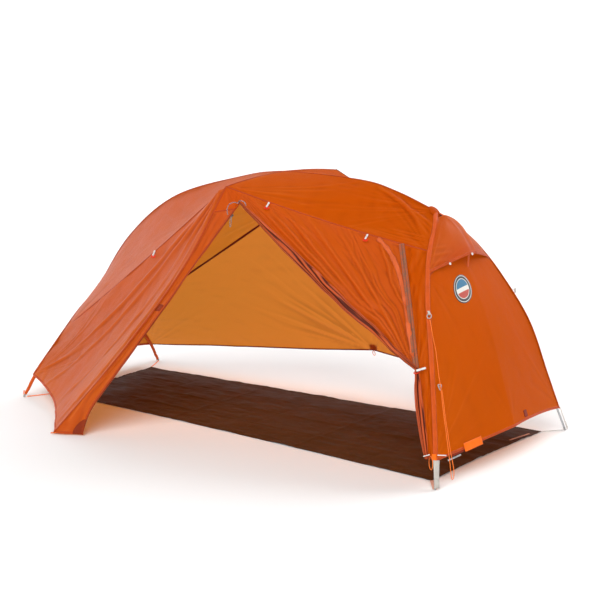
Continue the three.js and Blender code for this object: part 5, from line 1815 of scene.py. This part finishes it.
def ring_pieces():
    up = np.array([0, 0, 1.0])
    for word, side, body in (("near", NEAR, "tent"), ("far", FAR, "ring_far")):
        node = f"guy_ring_{word}"
        middle = middle_of(node)
        outward = unit(np.array([0.75, side * 0.66, 0]))
        ring_path = loop_path(middle, np.cross(up, outward), up, 0.018, 0.018, 48)
        ring = ring_of_cord(node + "_loop", ring_path, 0.0018, ring_plastic, outward, 14)
        place(ring, body, "ring_plastic", node)
        top = middle + up * 0.009
        fold_over = Smooth(np.vstack([
            top + outward * x + up * z
            for x, z in ((-0.012, 0.010), (-0.004, 0.004), (0.0028, 0), (-0.001, -0.0036), (-0.012, -0.006))
        ]))
        tab = sweep(node + "_tab", along(fold_over, 30), flat_outline(0.010, 0.0012), grey_webbing, up=up)
        pinned(tab, "grey_webbing")


ZIP_PULL_TURN = 0.0225  # from the middle of the puller up to where it hangs
ZIP_PULL_LINE = ((0.002, 0, 0), (0.004, -0.004, -0.012), (0.0045, -0.007, -0.030), (0.002, -0.008, -0.044),
                 (-0.002, -0.008, -0.044), (-0.0045, -0.006, -0.030), (-0.004, -0.002, -0.012),
                 (-0.002, 0.001, 0))
ZIP_CORD_LEFT = ((0, 0, 0), (-0.014, -0.012, 0.004), (-0.030, -0.020, -0.004), (-0.040, -0.022, -0.020),
                 (-0.042, -0.022, -0.038), (-0.038, -0.022, -0.050))
ZIP_CORD_RIGHT = ((0, 0, 0), (0.014, -0.010, 0.010), (0.032, -0.014, 0.014), (0.050, -0.016, 0.008),
                  (0.058, -0.018, -0.004))


def slider_piece():
    along_zip = unit(ZIP_LOW - ZIP_TOP)
    middle = middle_of("zip_slider")
    across = unit(STRIP.points[0, STRIP.u.shape[1] // 2] - (ZIP_TOP + ZIP_LOW) / 2)
    out = unit(np.cross(across, along_zip))
    out = out if out[1] < 0 else -out
    run = middle + np.linspace(-0.0075, 0.0075, 14)[:, None] * along_zip
    t = np.linspace(0, 1, 14)
    widths = np.interp(t, (0, 0.12, 0.5, 0.88, 1), (0.0075, 0.0098, 0.0085, 0.0066, 0.0050))
    depths = np.interp(t, (0, 0.12, 0.88, 1), (0.0030, 0.0050, 0.0050, 0.0034))
    rings = np.stack([flat_outline(width, depth, 0.0003) for width, depth in zip(widths, depths)])
    body = sweep("slider_body", run, rings, zip_metal, up=facing(out, run))
    turn = np.linspace(0, np.pi, 20)
    arch = middle + np.outer(np.cos(turn) * 0.0050, along_zip) + np.outer(np.sin(turn) * 0.0030 + 0.0022, out)
    bail = tube("slider_bail", arch, 0.0009, zip_metal, sides=10, up=np.cross(along_zip, out))
    place(joined("zip_slider_body", body, bail), "slider", "zip_metal", "zip_slider")


def zip_pieces():
    slider_piece()
    top = middle_of("zip_pull") + (0, 0, ZIP_PULL_TURN)
    path = along(Smooth(np.vstack([top + at for at in ZIP_PULL_LINE])), 80)
    pull = tube("zip_pull_loop", path, 0.0013, pull_cord, sides=10, up=(0, 1, 0))
    place(pull, "puller", "pull_cord", "zip_pull")
    declare_cord(pull, path, 0.0026, far_end="object", lay="hanging")
    seat = ROLL_TOP + (-0.004, -0.008, 0.002)
    for word, points in (("left", ZIP_CORD_LEFT), ("right", ZIP_CORD_RIGHT)):
        path = along(Smooth(seat + np.array(points)), 60)
        cord = tube(f"zip_top_cord_{word}", path, 0.0016, pull_cord, sides=10, up=(0.2, 1, 0.1))
        declare_cord(pinned(cord, "pull_cord"), path, 0.0032, far_end="bare", lay="hanging")


def strut_piece():
    low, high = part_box("vent_prop")
    path = along(straight(np.array([low[0] + 0.001, 0, low[2]]), np.array([high[0] - 0.001, 0, high[2]])), 24)
    width = np.interp(np.linspace(0, 1, 24), (0, 0.08, 0.92, 1), (0.012, 0.016, 0.016, 0.012))
    rings = np.stack([flat_outline(w, 0.0022, 0.0003) for w in width])
    place(sweep("vent_prop_strut", path, rings, orange_webbing, up=(1, 0, 0)), "prop", "fly_cloth", "vent_prop")


PULL_LOOP = (0.014, 0.026)  # width and height
CORNER_LOOP = (0.042, 0.054)
LOOP_FLOOR = 0.003  # a loop on the ground never dips below this


def stake_loops():
    stake = STAKE_CORNER + (0.004, -0.002, 0.002)
    pull = FAR_HEM_PULL + (0, 0.006, -0.012)
    corner = head_hem[NEAR] + (-0.014, -0.012, -0.005)
    for name, at, side, down, size in (
        ("stake_corner_loop", stake, (0.8, -0.6, 0), (-0.6, -0.75, -0.05), PULL_LOOP),
        ("far_pull_loop", pull, (1, 0, 0), (0, 0.3, -0.95), PULL_LOOP),
        ("head_corner_loop", corner, (0.79, -0.61, 0), (0, 0, -1), CORNER_LOOP),
    ):
        path = loop_path(at, unit(np.array(side)), unit(np.array(down)), *size, 60)
        path[:, 2] = np.maximum(path[:, 2], LOOP_FLOOR)
        pinned(ring_of_cord(name, path, 0.0015, guy_cord, (0.3, 0.2, 1)), "guy_cord")


# ---- Studio ----------------------------------------------------------------------------------------
def sun(name, toward, strength, spread):
    """A soft lamp far away, shining along `toward`, seen as a disc `spread` degrees wide."""
    light = bpy.data.lights.new(name, "SUN")
    light.energy = strength
    light.angle = math.radians(spread)
    lamp = bpy.data.objects.new(name, light)
    lamp.rotation_euler = Vector(toward).to_track_quat("-Z", "Y").to_euler()
    bpy.context.scene.collection.objects.link(lamp)


DIM = 0.26  # how bright the dome is where nothing lights it
LEFT_GLOW = ((-0.97, 0.15, 0.15), 0.70, 0.95, 1.6)  # toward the glow, where it starts and is full, how much
BACK_GLOW = ((0.18, 0.77, 0.61), 0.84, 0.98, 4.2)
HORIZON_GLOW = 0.9
HORIZON_DEPTH = 0.10
KEY_TOWARD = (-0.30, 0.72, -0.62)
KEY_STRENGTH = 2.55
KEY_SPREAD = 50


def studio_dome():
    """A plain dome with two broad soft glows, one on the left and one behind, and a pale horizon."""
    world = bpy.data.worlds.new("studio")
    world.use_nodes = True
    sky = Nodes(world.node_tree)
    direction = sky.node("TexCoord").outputs["Generated"]

    def ramp(value, *limits):
        node = sky.node("MapRange", value, *limits)
        node.interpolation_type = "SMOOTHSTEP"
        return Value(sky, node.outputs[0])

    glows = []
    for toward, start, full, strength in (LEFT_GLOW, BACK_GLOW):
        dot = sky.node("VectorMath", direction, toward)
        dot.operation = "DOT_PRODUCT"
        glows.append(ramp(dot.outputs["Value"], start, full, 0.0, strength))
    height = sky.node("SeparateXYZ", direction).outputs[2]
    total = glows[0] + glows[1] + ramp(height, 0.0, HORIZON_DEPTH, DIM + HORIZON_GLOW, DIM)
    background = sky.tree.nodes["Background"]
    sky.feed(background.inputs["Strength"], total)
    background.inputs["Color"].default_value = (1, 1, 1, 1)
    bpy.context.scene.world = world


FLOOR_HALF = 400.0
FLOOR_HEIGHT = -0.0005


def studio():
    s = Shader("studio_floor")
    tone = s.noise(0.8, 2.0, 0.5, vector=s.in_object())
    color = s.toward((0.92, 0.92, 0.92, 1), (0.94, 0.94, 0.94, 1), tone, 0.3, 0.7)
    s.finish(color, 0.9, Specular_IOR_Level=0.1)
    corners = [(x * FLOOR_HALF, y * FLOOR_HALF, FLOOR_HEIGHT) for x, y in ((-1, -1), (1, -1), (1, 1), (-1, 1))]
    make_mesh("studio_floor", corners, [(0, 1, 2, 3)], s.material)
    studio_dome()
    bpy.context.scene.view_settings.view_transform = "Standard"
    sun("key", KEY_TOWARD, KEY_STRENGTH, KEY_SPREAD)


panel_pieces()
seam_pieces()
hem_pieces()
hub_caps()
tied_door_pieces()
patch_pieces()
footprint_pieces()
corner_links()
corner_hardware()
pole_pieces()
toggle_pieces()
ring_pieces()
zip_pieces()
strut_piece()
stake_loops()
studio()
